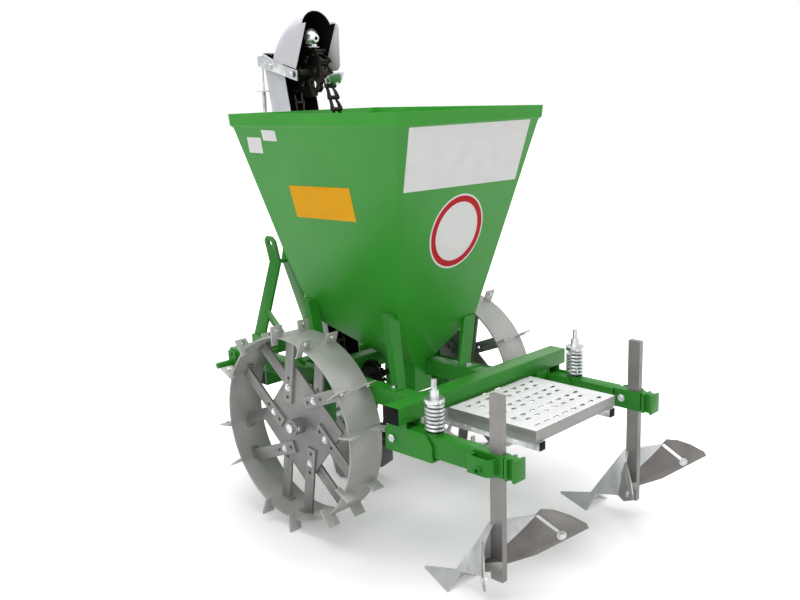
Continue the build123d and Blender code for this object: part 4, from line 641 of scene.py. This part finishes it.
@dataclass
class ChainLink:
    """One cranked link: two side plates, a barrel at one end and a pin at the other."""

    pitch: float
    half_width: float
    plate: float
    height: float
    barrel: float
    crank: float = 0.0
    sides: int = 10
    arc_steps: int = 4
    waist_share: float = 0.62
    pin_share: float = 0.62
    barrel_fill: float = 0.98

    def mesh(self) -> Mesh:
        """Build the link along +Y, its barrel at the origin."""
        shape = bmesh.new()
        for side in (-1, 1):
            self._plate(shape, side)
        self._cylinder(shape, 0.0, self.barrel, self.half_width * self.barrel_fill)
        self._cylinder(shape, self.pitch, self.barrel * self.pin_share, self.half_width + self.plate)
        return mesh_from("chain_link", shape)

    def _cylinder(self, shape: Shape, along: float, radius: float, half: float) -> None:
        """Add a round bar across the link."""
        matrix = Matrix.Translation((0, along, 0)) @ Matrix.Rotation(math.pi / 2, 4, "Y")
        bmesh.ops.create_cone(
            shape, cap_ends=True, segments=self.sides, radius1=radius, radius2=radius, depth=2 * half,
            matrix=matrix,
        )

    def _plate(self, shape: Shape, side: int) -> None:
        """Add a side plate with round ends, waisted between them.

        Args:
            shape: The link's mesh so far.
            side: Which side of the chain, -1 or 1.
        """
        outline = []
        half = self.height / 2
        # start and sweep of the arc in half turns, its centre, its crank and the waist's side after it
        arcs = ((0.5, 1.5, 0.0, self.crank, -1), (-0.5, 1.0, self.pitch, 0.0, 1))
        for start, sweep, along, crank, waist in arcs:
            for step in range(self.arc_steps + 1):
                turn = math.pi * (start + sweep * step / self.arc_steps)
                outline.append((along + half * math.cos(turn), half * math.sin(turn), crank))
            outline.append((self.pitch / 2, waist * half * self.waist_share, self.crank / 2))
        levels = []
        for reach in (self.half_width, self.half_width + self.plate):
            levels.append([shape.verts.new((side * (reach - crank), y, z)) for y, z, crank in outline])
        inner, outer = levels
        shape.faces.new(inner)
        shape.faces.new(list(reversed(outer)))
        bridge(shape, outer, inner)
        bmesh.ops.recalc_face_normals(shape, faces=shape.faces)


@dataclass
class ChainDrive:
    """A chain of whole links round a belt."""

    name: str
    node: str
    belt: Belt
    rise: float
    link: ChainLink
    offset: float = 0.0

    def build(self, body: str) -> Piece:
        """Put links along the belt and let them stand for the CAD loop.

        Args:
            body: The body that carries the chain.

        Returns:
            The chain's piece.
        """
        points = list(self.belt.points(self.rise))
        length = sum(math.dist(points[index - 1], point) for index, point in enumerate(points))
        count = round(length / self.link.pitch)
        self.link.pitch = length / count
        template = bpy.data.objects.new(f"{self.name}_link", self.link.mesh())
        recipe = Recipe(f"{self.name}_recipe")
        links = recipe.take("Link count", "Int")
        aside = recipe.take("Offset")
        line = recipe.node("GeometryNodeMeshToCurve", {0: recipe.entry.outputs[0]})
        spots = recipe.node("GeometryNodeCurveToPoints", {0: line, "Count": links}, mode="COUNT")
        along = {"Vector": spots.node.outputs["Tangent"]}
        turn = recipe.node("FunctionNodeAlignRotationToVector", along, axis="Y", pivot_axis="X")
        shape = recipe.node("GeometryNodeObjectInfo", {"Object": template}, "Geometry")
        chain = recipe.scatter(spots, shape, turn, (1, 1, 1))
        shift = recipe.node("ShaderNodeCombineXYZ", {0: aside})
        recipe.close(recipe.moved(chain, shift), Finish.CHAIN)
        carrier = self.belt.carrier(self.name, self.rise)
        piece = recipe.run(self.name, carrier, Link_count=count, Offset=self.offset)
        soften(piece.data)
        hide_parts(self.node)
        return carry(piece, Finish.CHAIN, body)


@dataclass
class CoilSpring:
    """Compression spring with closed ends, standing upright."""

    name: str
    node: str
    wire: float
    turns: float
    finish: Finish = Finish.ZINC
    end_share: float = 0.1
    turn_steps: int = 28
    wire_sides: int = 12
    end_rise: float = 2.0

    def build(self, body: str) -> Piece:
        """Wind the wire inside the CAD tube's box and let it stand for that tube.

        Args:
            body: The body that carries the coil.

        Returns:
            The coil's piece.
        """
        low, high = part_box(self.node)
        centre = (low + high) / 2
        recipe = Recipe(f"{self.name}_recipe")
        radius = recipe.take("Coil radius")
        wire = recipe.take("Wire radius")
        height = recipe.take("Height")
        turns = recipe.take("Turns")
        spiral = recipe.node("GeometryNodeCurveSpiral", {
            "Resolution": self.turn_steps, "Rotations": turns, "Height": 1.0,
            "Start Radius": radius, "End Radius": radius,
        })
        along = recipe.node("GeometryNodeSplineParameter", {}, "Factor")
        rise = recipe.maths("SUBTRACT", height, recipe.maths("MULTIPLY", wire, 2 * self.end_rise + 2))
        share = self.end_share
        middle = recipe.node("ShaderNodeMapRange", {0: along, 1: share, 2: 1 - share, 3: 0.0, 4: rise})
        ends = recipe.maths("MULTIPLY", wire, self.end_rise)
        foot = recipe.node("ShaderNodeMapRange", {0: along, 1: 0.0, 2: share, 3: 0.0, 4: ends})
        head = recipe.node("ShaderNodeMapRange", {0: along, 1: 1 - share, 2: 1.0, 3: 0.0, 4: ends})
        lift = recipe.maths("ADD", recipe.maths("ADD", middle, foot), recipe.maths("ADD", head, wire))
        place = recipe.node("GeometryNodeInputPosition", {})
        split = recipe.node("ShaderNodeSeparateXYZ", {0: place})
        joined = recipe.node("ShaderNodeCombineXYZ", {0: split, 1: split.node.outputs[1], 2: lift})
        path = recipe.node("GeometryNodeSetPosition", {0: spiral, "Position": joined})
        section = {"Resolution": self.wire_sides, "Radius": wire}
        ring = recipe.node("GeometryNodeCurvePrimitiveCircle", section)
        coil = recipe.node("GeometryNodeCurveToMesh", {0: path, 1: ring, "Fill Caps": True})
        recipe.close(recipe.moved(coil, (centre.x, centre.y, low.z)), self.finish)
        outer = (high.x - low.x) / 2
        piece = recipe.run(
            self.name, bpy.data.meshes.new(self.name),
            Coil_radius=outer - self.wire, Wire_radius=self.wire, Height=high.z - low.z, Turns=self.turns,
        )
        soften(piece.data)
        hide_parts(self.node)
        return carry(piece, self.finish, body)


@dataclass
class NodeDresser:
    """Rounds the edges of the CAD pieces and gives each its finish."""

    record: dict
    finish_of: dict[str, Finish]
    edge_radius: float = 0.8 * MM
    fine_radius: float = 0.4 * MM
    fine_nodes: tuple[str, ...] = (
        "cups", "elevator_shafts", "drive_sprocket", "tension_strap", "hiller_wings", "elevator_hood",
    )
    creased_nodes: tuple[str, ...] = ("elevator_hood", "hiller", "hopper")
    merge_distance: float = 0.01 * MM
    flat_angle: float = 0.5
    sharp_angle: float = 40
    crease_angle: float = 14
    smooth_angle: float = 30

    def body_of(self, node: str) -> str:
        """The body that holds a node."""
        bodies = self.record["behaviour"]["bodies"]
        return next(body for body, nodes in bodies.items() if node in nodes)

    def rounded(self, node: Piece, radius: float) -> Mesh:
        """A clean copy of a node's mesh with small round edges.

        Args:
            node: The CAD node's object.
            radius: Width of the rounding, in metres.

        Returns:
            The new mesh.
        """
        shape = bmesh.new()
        shape.from_mesh(node.data)
        bmesh.ops.remove_doubles(shape, verts=shape.verts, dist=self.merge_distance)
        flat = math.radians(self.flat_angle)
        bmesh.ops.dissolve_limit(shape, angle_limit=flat, verts=shape.verts, edges=shape.edges)
        limit = math.radians(self.sharp_angle)
        sharp = [edge for edge in shape.edges if edge.is_manifold and edge.calc_face_angle(0) > limit]
        bmesh.ops.bevel(
            shape, geom=sharp, offset=radius, offset_type="OFFSET", segments=2, profile=0.5,
            affect="EDGES", clamp_overlap=True, harden_normals=False,
        )
        mesh = mesh_from(node.name, shape)
        soften(mesh, self.crease_angle if node.name.startswith(self.creased_nodes) else self.smooth_angle)
        return mesh

    def dress(self, nodes: dict[str, Piece]) -> dict[str, Piece]:
        """Dress every node of the table.

        Args:
            nodes: The CAD nodes by name.

        Returns:
            The dressed pieces by node name.
        """
        pieces = {}
        for name, finish in self.finish_of.items():
            fine = name.startswith(self.fine_nodes)
            mesh = self.rounded(nodes[name], self.fine_radius if fine else self.edge_radius)
            piece = add_piece(f"{name}_dressed", mesh, finish, self.body_of(name))
            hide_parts(name)
            pieces[name] = piece
        return pieces


def repaint(piece: Piece, finish: Finish, chosen: Callable[[Vector, Vector], bool]) -> None:
    """Give some faces of a piece a second finish.

    Args:
        piece: The piece.
        finish: The second finish.
        chosen: Takes a face's centre and normal and says whether it is repainted.
    """
    piece.data.materials.append(finish.material)
    for face in piece.data.polygons:
        if chosen(face.center, face.normal):
            face.material_index = 1


@dataclass
class PhotoCamera:
    """The camera that saw the machine, and the rays through its picture."""

    place: Vector = field(default_factory=lambda: Vector((-2.1957, -2.0734, 1.3682)))
    heading: float = 45.4816
    pitch: float = -12.4465
    roll: float = -1.7643
    lens: float = 42.58
    sensor: float = 36.0
    picture: tuple[int, int] = (800, 600)

    def axes(self) -> tuple[Vector, Vector, Vector]:
        """Forward, right and up."""
        turn, tilt, roll = (math.radians(angle) for angle in (self.heading, self.pitch, self.roll))
        forward = Vector((math.sin(turn) * math.cos(tilt), math.cos(turn) * math.cos(tilt), math.sin(tilt)))
        level = Vector((math.cos(turn), -math.sin(turn), 0))
        upright = level.cross(forward)
        right = level * math.cos(roll) + upright * math.sin(roll)
        return forward, right, upright * math.cos(roll) - level * math.sin(roll)

    def build(self) -> None:
        """Make it the scene's camera."""
        data = bpy.data.cameras.new("photo_camera")
        data.lens = self.lens
        data.sensor_width = self.sensor
        camera = show("photo_camera", data)
        forward, right, upright = self.axes()
        matrix = Matrix((right, upright, -forward)).transposed().to_4x4()
        camera.matrix_world = Matrix.Translation(self.place) @ matrix
        bpy.context.scene.camera = camera

    def hit(self, pixel: tuple[float, float], point: Vector, normal: Vector) -> Vector:
        """Where the ray through a pixel meets a plane.

        Args:
            pixel: Place in the 800 by 600 picture, from its top left.
            point: A point of the plane.
            normal: The plane's normal.

        Returns:
            The place on the plane.
        """
        forward, right, upright = self.axes()
        width, height = self.picture
        focal = self.lens / self.sensor * width
        ray = forward * focal + right * (pixel[0] - width / 2) - upright * (pixel[1] - height / 2)
        return self.place + ray * ((point - self.place).dot(normal) / ray.dot(normal))


@dataclass
class Studio:
    """Plain pale floor, soft lamps and an even world."""

    floor_half: float = 30.0
    shadow_reach: float = 0.55
    white_reach: float = 1.5
    floor_glow: float = 0.25
    gloss_share: float = 0.8
    world_strength: float = 0.5
    target: Triple = (0, 0, 0.6)
    lamps: tuple[tuple[str, Triple, float, float], ...] = (
        # name, place, size, power
        ("top_softbox", (0.0, 0.2, 3.6), 3.2, 90.0),
        ("left_softbox", (-3.4, -1.6, 2.3), 2.4, 30.0),
        ("right_softbox", (3.2, -2.2, 2.4), 2.2, 14.0),
    )

    def build(self) -> None:
        """Make the floor, the lamps and the world."""
        bpy.context.scene.view_settings.view_transform = "Standard"
        self._floor()
        self._world()
        for lamp in self.lamps:
            self._lamp(*lamp)

    def _lamp(self, name: str, place: Triple, size: float, power: float) -> None:
        """Add a square soft lamp that looks at the machine.

        Args:
            name: The lamp's name.
            place: Where it hangs, in metres.
            size: Its side in metres.
            power: Its power in watts.
        """
        data = bpy.data.lights.new(name, "AREA")
        data.shape = "SQUARE"
        data.size = size
        data.energy = power
        lamp = show(name, data)
        lamp.location = place
        lamp.rotation_euler = (Vector(self.target) - Vector(place)).to_track_quat("-Z", "Y").to_euler()

    def _floor(self) -> None:
        """Add the floor: its glow is white far from the machine and weaker near it, a painted shade round the
        machine that lets the lamps' own shadow show.
        """
        shape = bmesh.new()
        bmesh.ops.create_grid(shape, x_segments=1, y_segments=1, size=self.floor_half)
        floor = show("floor", mesh_from("floor", shape))
        sheet = FinishSheet("pale_floor")
        paper = sheet.blend(sheet.cloud(0.6, 3), srgb(236, 236, 236), srgb(232, 232, 232))
        reach = sheet.signal("ShaderNodeVectorMath", {0: sheet.place}, 1, operation="LENGTH")
        rays = sheet.node("ShaderNodeLightPath", {}).outputs
        direct = Signal(sheet, rays["Is Camera Ray"])
        mirrored = Signal(sheet, rays["Is Glossy Ray"]) * self.gloss_share
        seen = direct + mirrored + Signal(sheet, rays["Is Transmission Ray"])
        # painted shade on the floor: glow only floor_glow within shadow_reach of the middle, rising to full
        # white at white_reach
        away = reach.spread(self.shadow_reach, self.white_reach)
        glow = seen * (away * (1 - self.floor_glow) + self.floor_glow)
        light = sheet.blend(glow, (0, 0, 0, 1), (1, 1, 1, 1))
        finish = sheet.finish(Base_Color=paper, Roughness=0.9, Emission_Color=light, Emission_Strength=1.0)
        floor.data.materials.append(finish)

    def _world(self) -> None:
        """White to the camera and to mirrors, softer as light."""
        world = bpy.data.worlds.new("studio_world")
        bpy.context.scene.world = world
        world.use_nodes = True
        tree = world.node_tree
        tree.nodes.clear()
        rays = add_node(tree, "ShaderNodeLightPath", {}).outputs
        seen = rays["Is Camera Ray"]
        for ray in ("Is Transmission Ray", "Is Glossy Ray"):
            inputs = {0: seen, 1: rays[ray]}
            seen = add_node(tree, "ShaderNodeMath", inputs, operation="MAXIMUM").outputs[0]
        strength = add_node(tree, "ShaderNodeMapRange", {0: seen, "To Min": self.world_strength}).outputs[0]
        light = add_node(tree, "ShaderNodeBackground", {"Strength": strength, "Color": (1, 1, 1, 1)})
        add_node(tree, "ShaderNodeOutputWorld", {"Surface": light.outputs[0]})


@dataclass
class HopperSigns:
    """Blank plates and the blank round sign on the hopper's walls."""

    camera: PhotoCamera
    shift: float
    thickness: float = 0.5 * MM
    gap: float = 0.15 * MM
    waist_z: float = 0.830
    rim_z: float = 1.268
    waist_half: float = 0.2276
    rim_half: float = 0.3252
    waist_rear: float = -0.308
    rim_rear: float = -0.4158
    ring_centre: tuple[float, float] = (456.6, 231.2)
    ring_top: tuple[float, float] = (458.6, 195.7)
    ring_foot: tuple[float, float] = (455.0, 266.8)
    ring_share: float = 0.79
    rim_share: float = 0.95
    steps: int = 96
    rear_corners: Corners = ((409.2, 126.5), (531.1, 116.6), (514.9, 178.9), (403.2, 193.1))
    side_corners: Corners = ((289, 185.4), (348.9, 188.3), (356.4, 222), (297.5, 216.8))
    type_corners: Corners = ((247, 137), (260.5, 137.6), (263.5, 153.4), (250, 152.4))
    small_corners: Corners = ((260.8, 129.8), (274.6, 130.6), (277, 141.4), (263.4, 140.4))

    def walls(self) -> tuple[Wall, Wall]:
        """A point and the outward normal of the rear wall and of the left wall."""
        rise = self.rim_z - self.waist_z
        rear = Vector((0, self.waist_rear + self.shift, self.waist_z))
        left = Vector((-self.waist_half, 0, self.waist_z))
        rear_normal = Vector((0, -rise, self.rim_rear - self.waist_rear)).normalized()
        left_normal = Vector((-rise, 0, self.waist_half - self.rim_half)).normalized()
        return (rear, rear_normal), (left, left_normal)

    def plate(self, name: str, finish: Finish, corners: Corners, wall: Wall) -> None:
        """Stick a flat plate, given by its corners in the picture, on a wall."""
        spots = [self.camera.hit(pixel, *wall) for pixel in corners]
        self._slab(name, finish, spots, [], wall[1], self.gap)

    def _slab(
        self, name: str, finish: Finish, outline: list[Vector], hole: list[Vector], normal: Vector, gap: float,
    ) -> None:
        """Add a thin slab.

        Args:
            name: The piece's name.
            finish: Its finish.
            outline: Its corners on the wall.
            hole: The corners of a hole, as many as the outline's or none.
            normal: The wall's outward normal.
            gap: Distance between the wall and the slab.
        """
        shape = bmesh.new()
        levels = []
        for height in (gap, gap + self.thickness):
            outer = [shape.verts.new(spot + normal * height) for spot in outline]
            inner = [shape.verts.new(spot + normal * height) for spot in hole]
            levels.append((outer, inner))
            if not hole:
                shape.faces.new(outer)
            else:
                bridge(shape, outer, inner)
        for low, high in zip(*levels):
            bridge(shape, low, high)
        bmesh.ops.recalc_face_normals(shape, faces=shape.faces)
        add_piece(name, mesh_from(name, shape), finish, "frame")

    def round_sign(self, wall: Wall) -> None:
        """Stick a white disc with a red ring on a wall.

        Args:
            wall: A point of the wall and its outward normal.
        """
        point, normal = wall
        pixels = (self.ring_centre, self.ring_top, self.ring_foot)
        centre, top, foot = (self.camera.hit(pixel, point, normal) for pixel in pixels)
        radius = (top - foot).length / 2
        across = Vector((1, 0, 0))
        upward = normal.cross(across).normalized()
        circles = []
        for share in (1.0, self.rim_share, self.ring_share):
            circle = []
            for step in range(self.steps):
                turn = FULL_TURN * step / self.steps
                circle.append(centre + (across * math.cos(turn) + upward * math.sin(turn)) * radius * share)
            circles.append(circle)
        self._slab("round_sign_disc", Finish.WHITE_VINYL, circles[0], [], normal, self.gap)
        height = self.gap + self.thickness
        self._slab("round_sign_ring", Finish.RED_VINYL, circles[1], circles[2], normal, height)

    def build(self) -> None:
        """Add every sign."""
        rear, left = self.walls()
        self.plate("rear_plate", Finish.WHITE_VINYL, self.rear_corners, rear)
        self.plate("side_plate", Finish.YELLOW_VINYL, self.side_corners, left)
        for name, corners in (("type_plate", self.type_corners), ("small_plate", self.small_corners)):
            self.plate(name, Finish.WHITE_VINYL, corners, left)
        self.round_sign(rear)


@dataclass
class WheelFasteners:
    """Bolts on the spokes, lugs and hubs of both wheels."""

    axle: Vector
    spoke_count: int = 6
    spoke_start: float = 8.8
    spoke_aside: float = 63 * MM
    spoke_bolt: float = 109 * MM
    outer_face: float = 387 * MM
    inner_face: float = 365 * MM
    band_radius: float = 300 * MM
    lug_radius: float = 321 * MM
    lug_half: float = 2.5 * MM
    outer_lug_x: float = 440 * MM
    inner_lug_x: float = 332 * MM
    hub_x: float = 407 * MM
    hub_radius: float = 26 * MM
    bolt_size: float = 9 * MM
    lug_bolt_size: float = 6.5 * MM

    def _turned(self, x: float, along: float, out: float, angle: float) -> Vector:
        """A place given at the wheel's top, turned round the axle.

        Args:
            x: Place across the machine.
            along: Distance towards the machine's front from the wheel's top.
            out: Distance from the axle.
            angle: The turn in degrees.

        Returns:
            The turned place.
        """
        turn = math.radians(angle)
        y = along * math.cos(turn) - out * math.sin(turn)
        z = along * math.sin(turn) + out * math.cos(turn)
        return Vector((x, self.axle.y + y, self.axle.z + z))

    def spots(self) -> list[Fastener]:
        """Every bolt of both wheels."""
        found = []
        step = 360 / self.spoke_count
        lug_turn = math.degrees(math.asin(self.spoke_aside / self.band_radius))
        for side in (-1, 1):
            outward = Vector((side, 0, 0))
            for index in range(self.spoke_count):
                angle = self.spoke_start + index * step
                outer = self._turned(side * self.outer_face, self.spoke_aside, self.spoke_bolt, angle)
                inner = self._turned(side * self.inner_face, -self.spoke_aside, self.spoke_bolt, angle)
                found.append(Fastener(outer, outward, self.bolt_size))
                found.append(Fastener(inner, -outward, self.bolt_size))
                for x in (self.inner_lug_x, self.outer_lug_x):
                    for lug_angle in (angle - lug_turn, angle + lug_turn):
                        turn = math.radians(lug_angle)
                        facing = Vector((0, -math.cos(turn), -math.sin(turn)))
                        place = self._turned(side * x, -self.lug_half, self.lug_radius, lug_angle)
                        found.append(Fastener(place, facing, self.lug_bolt_size))
            for end in (-1, 1):
                place = self.axle + Vector((side * self.hub_x - self.axle.x, end * self.hub_radius, 0))
                found.append(Fastener(place, Vector((0, end, 0)), self.bolt_size))
        return found


@dataclass
class RidgerFasteners:
    """Clamp bolt, wing nuts and nose rivets of a ridger arm, in millimetres from the axle and the ground."""

    place: Callable[[float, float, float], Vector]
    side: int
    arm_x: float = 345
    clamp: Triple = (327, -737, 398)
    clamp_size: float = 9
    wing_angle: float = 41
    wing_root: float = -710
    wing_thickness: float = 4
    nut_along: float = 226
    nut_height: float = 156
    nut_size: float = 10
    wing_bolt_size: float = 9
    nose_low: Triple = (20, -606, 22)
    nose_top: Triple = (222, -742, 113)
    rivet_spots: Corners = ((0.34, 64), (0.66, 104), (0.64, 124))
    rivet_size: float = 6
    probe_share: float = 0.05
    probe_height: float = 5

    def bolts(self) -> list[Fastener]:
        """The clamp's bolt, and a bolt and its nut at the low end of each wing's slot."""
        x, y, z = self.clamp
        found = [Fastener(self.place(self.side * x, y, z), Vector((-self.side, 0, 0)), self.clamp_size * MM)]
        turn = math.radians(self.wing_angle)
        root = self.place(self.side * self.arm_x, self.wing_root, self.nut_height)
        for wing in (-1, 1):
            facing = Vector((-wing * math.sin(turn), -math.cos(turn), 0))
            outward = Vector((wing * math.cos(turn), -math.sin(turn), 0))
            front = root + outward * self.nut_along * MM
            found.append(Fastener(front + facing * self.wing_thickness * MM, facing, self.nut_size * MM))
            found.append(Fastener(front, -facing, self.wing_bolt_size * MM))
        return found

    def _on_nose(self, wing: int, share: float, height: float) -> Vector:
        """A place on a nose plate.

        Args:
            wing: The plate's side of the nose, -1 or 1.
            share: Share of the way back from the tip.
            height: Height over the ground.

        Returns:
            The place in metres.
        """
        rise = (height - self.nose_low[0]) / (self.nose_top[0] - self.nose_low[0])
        tip, half = (low + rise * (top - low) for low, top in zip(self.nose_low[1:], self.nose_top[1:]))
        end = self.wing_root - half * math.tan(math.radians(self.wing_angle))
        return self.place(self.side * self.arm_x + wing * half * share, tip + share * (end - tip), height)

    def rivets(self) -> list[Fastener]:
        """Rivets on both plates of the nose, square to the plate."""
        found = []
        for wing in (-1, 1):
            for share, height in self.rivet_spots:
                spot = self._on_nose(wing, share, height)
                across = self._on_nose(wing, share + self.probe_share, height) - spot
                upward = self._on_nose(wing, share, height + self.probe_height) - spot
                facing = across.cross(upward).normalized()
                if facing.x * wing < 0:
                    facing = -facing
                found.append(Fastener(spot, facing, self.rivet_size * MM))
        return found


@dataclass
class FrameFasteners:
    """Bolts on the frame, in millimetres from the axle and the ground."""

    place: Callable[[float, float, float], Vector]
    elevator_bolts: tuple[tuple[Triple, float], ...] = (((75, 431, 1466.3), 9), ((82, 315, 1435), 8))
    post_bolts: tuple[tuple[Triple, float], ...] = (
        ((39, -350, 502), 9), ((-277, -326, 502), 8), ((-277, 19, 502), 8), ((221, 35, 502), 8),
    )

    def spots(self) -> list[Fastener]:
        """Bolts on both sides of the elevator's head, then those in the feet of the posts."""
        found = []
        for side in (-1, 1):
            for (x, y, z), size in self.elevator_bolts:
                found.append(Fastener(self.place(side * x, y, z), Vector((side, 0, 0)), size * MM))
        for spot, size in self.post_bolts:
            found.append(Fastener(self.place(*spot), Vector((0, 0, 1)), size * MM))
        return found


@dataclass
class ElevatorInwardBlack:
    """Black on the inward faces of the hood and of the channel, where their insides look dark."""

    hood: Vector
    inner_side: float = 64.5 * MM
    square_share: float = 0.9
    inward_share: float = -0.2

    def _on_side(self, centre: Vector, normal: Vector) -> bool:
        """Whether a face across the machine looks inwards."""
        return centre.x * normal.x < 0 and abs(centre.x) < self.inner_side

    def inside_hood(self, centre: Vector, normal: Vector) -> bool:
        """Whether a face of the hood looks at its middle."""
        if abs(normal.x) > self.square_share:
            return self._on_side(centre, normal)
        out = Vector((centre.x, centre.y - self.hood.y, centre.z - self.hood.z))
        return normal.dot(out.normalized()) < self.inward_share

    def inside_channel(self, centre: Vector, normal: Vector) -> bool:
        """Whether a face of the channel looks inwards."""
        if abs(normal.x) > self.square_share:
            return self._on_side(centre, normal)
        return normal.y < -self.square_share and abs(centre.x) < self.inner_side

    def paint(self, pieces: dict[str, Piece]) -> None:
        """Paint both pieces."""
        repaint(pieces["elevator_hood"], Finish.LINER, self.inside_hood)
        repaint(pieces["elevator_channel"], Finish.LINER, self.inside_channel)


@dataclass
class PlanterChains:
    """Cup chain and drive chain, in millimetres; a roller is its y, z and radius."""

    shift: float
    top_roller: Triple = (315, 1435, 78)
    feed_roller: Triple = (-60, 445, 46)
    low_roller: Triple = (95, 180, 60)
    axle_sprocket: Triple = (0, 336, 57)
    # pitch, half width, plate, height, barrel, crank
    cup_link: tuple[float, ...] = (41, 15, 7, 15, 7.5, 5.5)
    drive_link: tuple[float, ...] = (15.9, 5, 1.8, 12, 4.2, 1.9)
    cup_rise: float = 6
    drive_rise: float = 3
    drive_x: float = -111

    def _belt(self, *rollers: Triple) -> Belt:
        """A belt round some rollers."""
        return Belt([(y * MM + self.shift, z * MM, radius * MM) for y, z, radius in rollers])

    def build(self) -> None:
        """Put both chains on the frame."""
        belt = self._belt(self.top_roller, self.feed_roller, self.low_roller)
        link = ChainLink(*(size * MM for size in self.cup_link))
        ChainDrive("cup_chain_links", "cup_chain", belt, self.cup_rise * MM, link).build("frame")
        belt = self._belt(self.feed_roller, self.axle_sprocket)
        link = ChainLink(*(size * MM for size in self.drive_link))
        offset = self.drive_x * MM
        ChainDrive("drive_chain_links", "drive_chain", belt, self.drive_rise * MM, link, offset).build("frame")


@dataclass
class PlanterSprings:
    """Coils over the arms and the coil of the chain's pull rod."""

    arm_wire: float = 4.5 * MM
    arm_turns: float = 6.5
    pull_wire: float = 1.4 * MM
    pull_turns: float = 22.0
    pull_end_share: float = 0.04

    def build(self) -> None:
        """Wind every coil."""
        for side in ("left", "right"):
            spring = CoilSpring(f"arm_coil_{side}", f"spring_{side}", self.arm_wire, self.arm_turns)
            coil = spring.build("frame")
            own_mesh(coil)
        pull = CoilSpring(
            "pull_coil", "tension_spring", self.pull_wire, self.pull_turns, end_share=self.pull_end_share,
        )
        pull.build("frame")


class PlanterLooks:
    """The whole machine's looks, built in order."""

    HOOD_CENTRE = (0, 245, 1403)
    # platform faces that look up further than this keep the painted light of the lit top
    LIT_TOP_NORMAL = 0.3
    REMADE = ("spring_left", "spring_right", "tension_spring", "cup_chain", "drive_chain")

    def __init__(self, frame: dict) -> None:
        """Read the frame's record and places."""
        self.frame = frame
        RECORD_SLOTS.update(item["slot"] for item in frame["record"]["materials"])
        low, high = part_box("axle")
        self.axle = (low + high) / 2
        low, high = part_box("axle_bearings")
        self.shift = (low.y + high.y) / 2
        self.axle.y = self.shift
        self.axle.x = 0

    def machine(self, x: float, y: float, z: float) -> Vector:
        """A place in millimetres from the axle and the ground, in the frame's metres."""
        return Vector((x * MM, y * MM + self.shift, z * MM))

    def finishes(self) -> dict[str, Finish]:
        """The finish of every CAD node that stays as it is but for its edges."""
        own = {"platform": Finish.DECK, "chain_guard": Finish.GUARD, "hopper": Finish.GREEN}
        for side in ("left", "right"):
            # the bands take the lighter, painted-light copy of the wheel paint
            own[f"wheel_rim_{side}"] = Finish.BAND
            own[f"hiller_wings_{side}"] = Finish.WING
            own[f"hiller_shank_{side}"] = Finish.WING
        by_slot: dict[str, Finish] = {}
        for finish in Finish:
            by_slot.setdefault(finish.slot, finish)
        # the frame's green parts take the darker, painted-shade copy of the green paint
        by_slot[Finish.FRAME_GREEN.slot] = Finish.FRAME_GREEN
        found = {}
        for part in self.frame["record"]["subparts"]:
            if part["node"] not in self.REMADE:
                found[part["node"]] = own.get(part["node"], by_slot[part["material_slot"]])
        return found

    def build(self) -> None:
        """Build every sub-assembly."""
        dresser = NodeDresser(self.frame["record"], self.finishes())
        pieces = dresser.dress(self.frame["nodes"])
        ElevatorInwardBlack(self.machine(*self.HOOD_CENTRE)).paint(pieces)
        # painted light and shade on the platform: faces that look up stay near-white, the sides and underside
        # turn to the darker silver
        repaint(pieces["platform"], Finish.SILVER, lambda centre, normal: normal.z < self.LIT_TOP_NORMAL)
        PlanterChains(self.shift).build()
        PlanterSprings().build()
        self.fasteners()

    def fasteners(self) -> None:
        """Bolts and rivets, one piece for each body and kind."""
        hexes = FastenerSet("hex_bolts", head_sides=6, head_height=0.7, washer_share=1.35)
        rivets = FastenerSet("flat_rivets", head_sides=18, head_height=0.25, washer_share=1.05)
        hexes.place("bolts_on_wheels", WheelFasteners(self.axle).spots(), "wheelset")
        hexes.place("bolts_on_frame", FrameFasteners(self.machine).spots(), "frame")
        for side, name in ((-1, "left_arm"), (1, "right_arm")):
            ridger = RidgerFasteners(self.machine, side)
            hexes.place(f"bolts_on_{name}", ridger.bolts(), name)
            rivets.place(f"rivets_on_{name}", ridger.rivets(), name)


def main() -> None:
    """Build the machine's looks, its signs and the studio."""
    logging.basicConfig(level=logging.INFO, format="%(message)s")
    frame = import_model()
    camera = PhotoCamera()
    camera.build()
    Studio().build()
    looks = PlanterLooks(frame)
    looks.build()
    HopperSigns(camera, looks.shift).build()


if __name__ == "__main__":
    main()
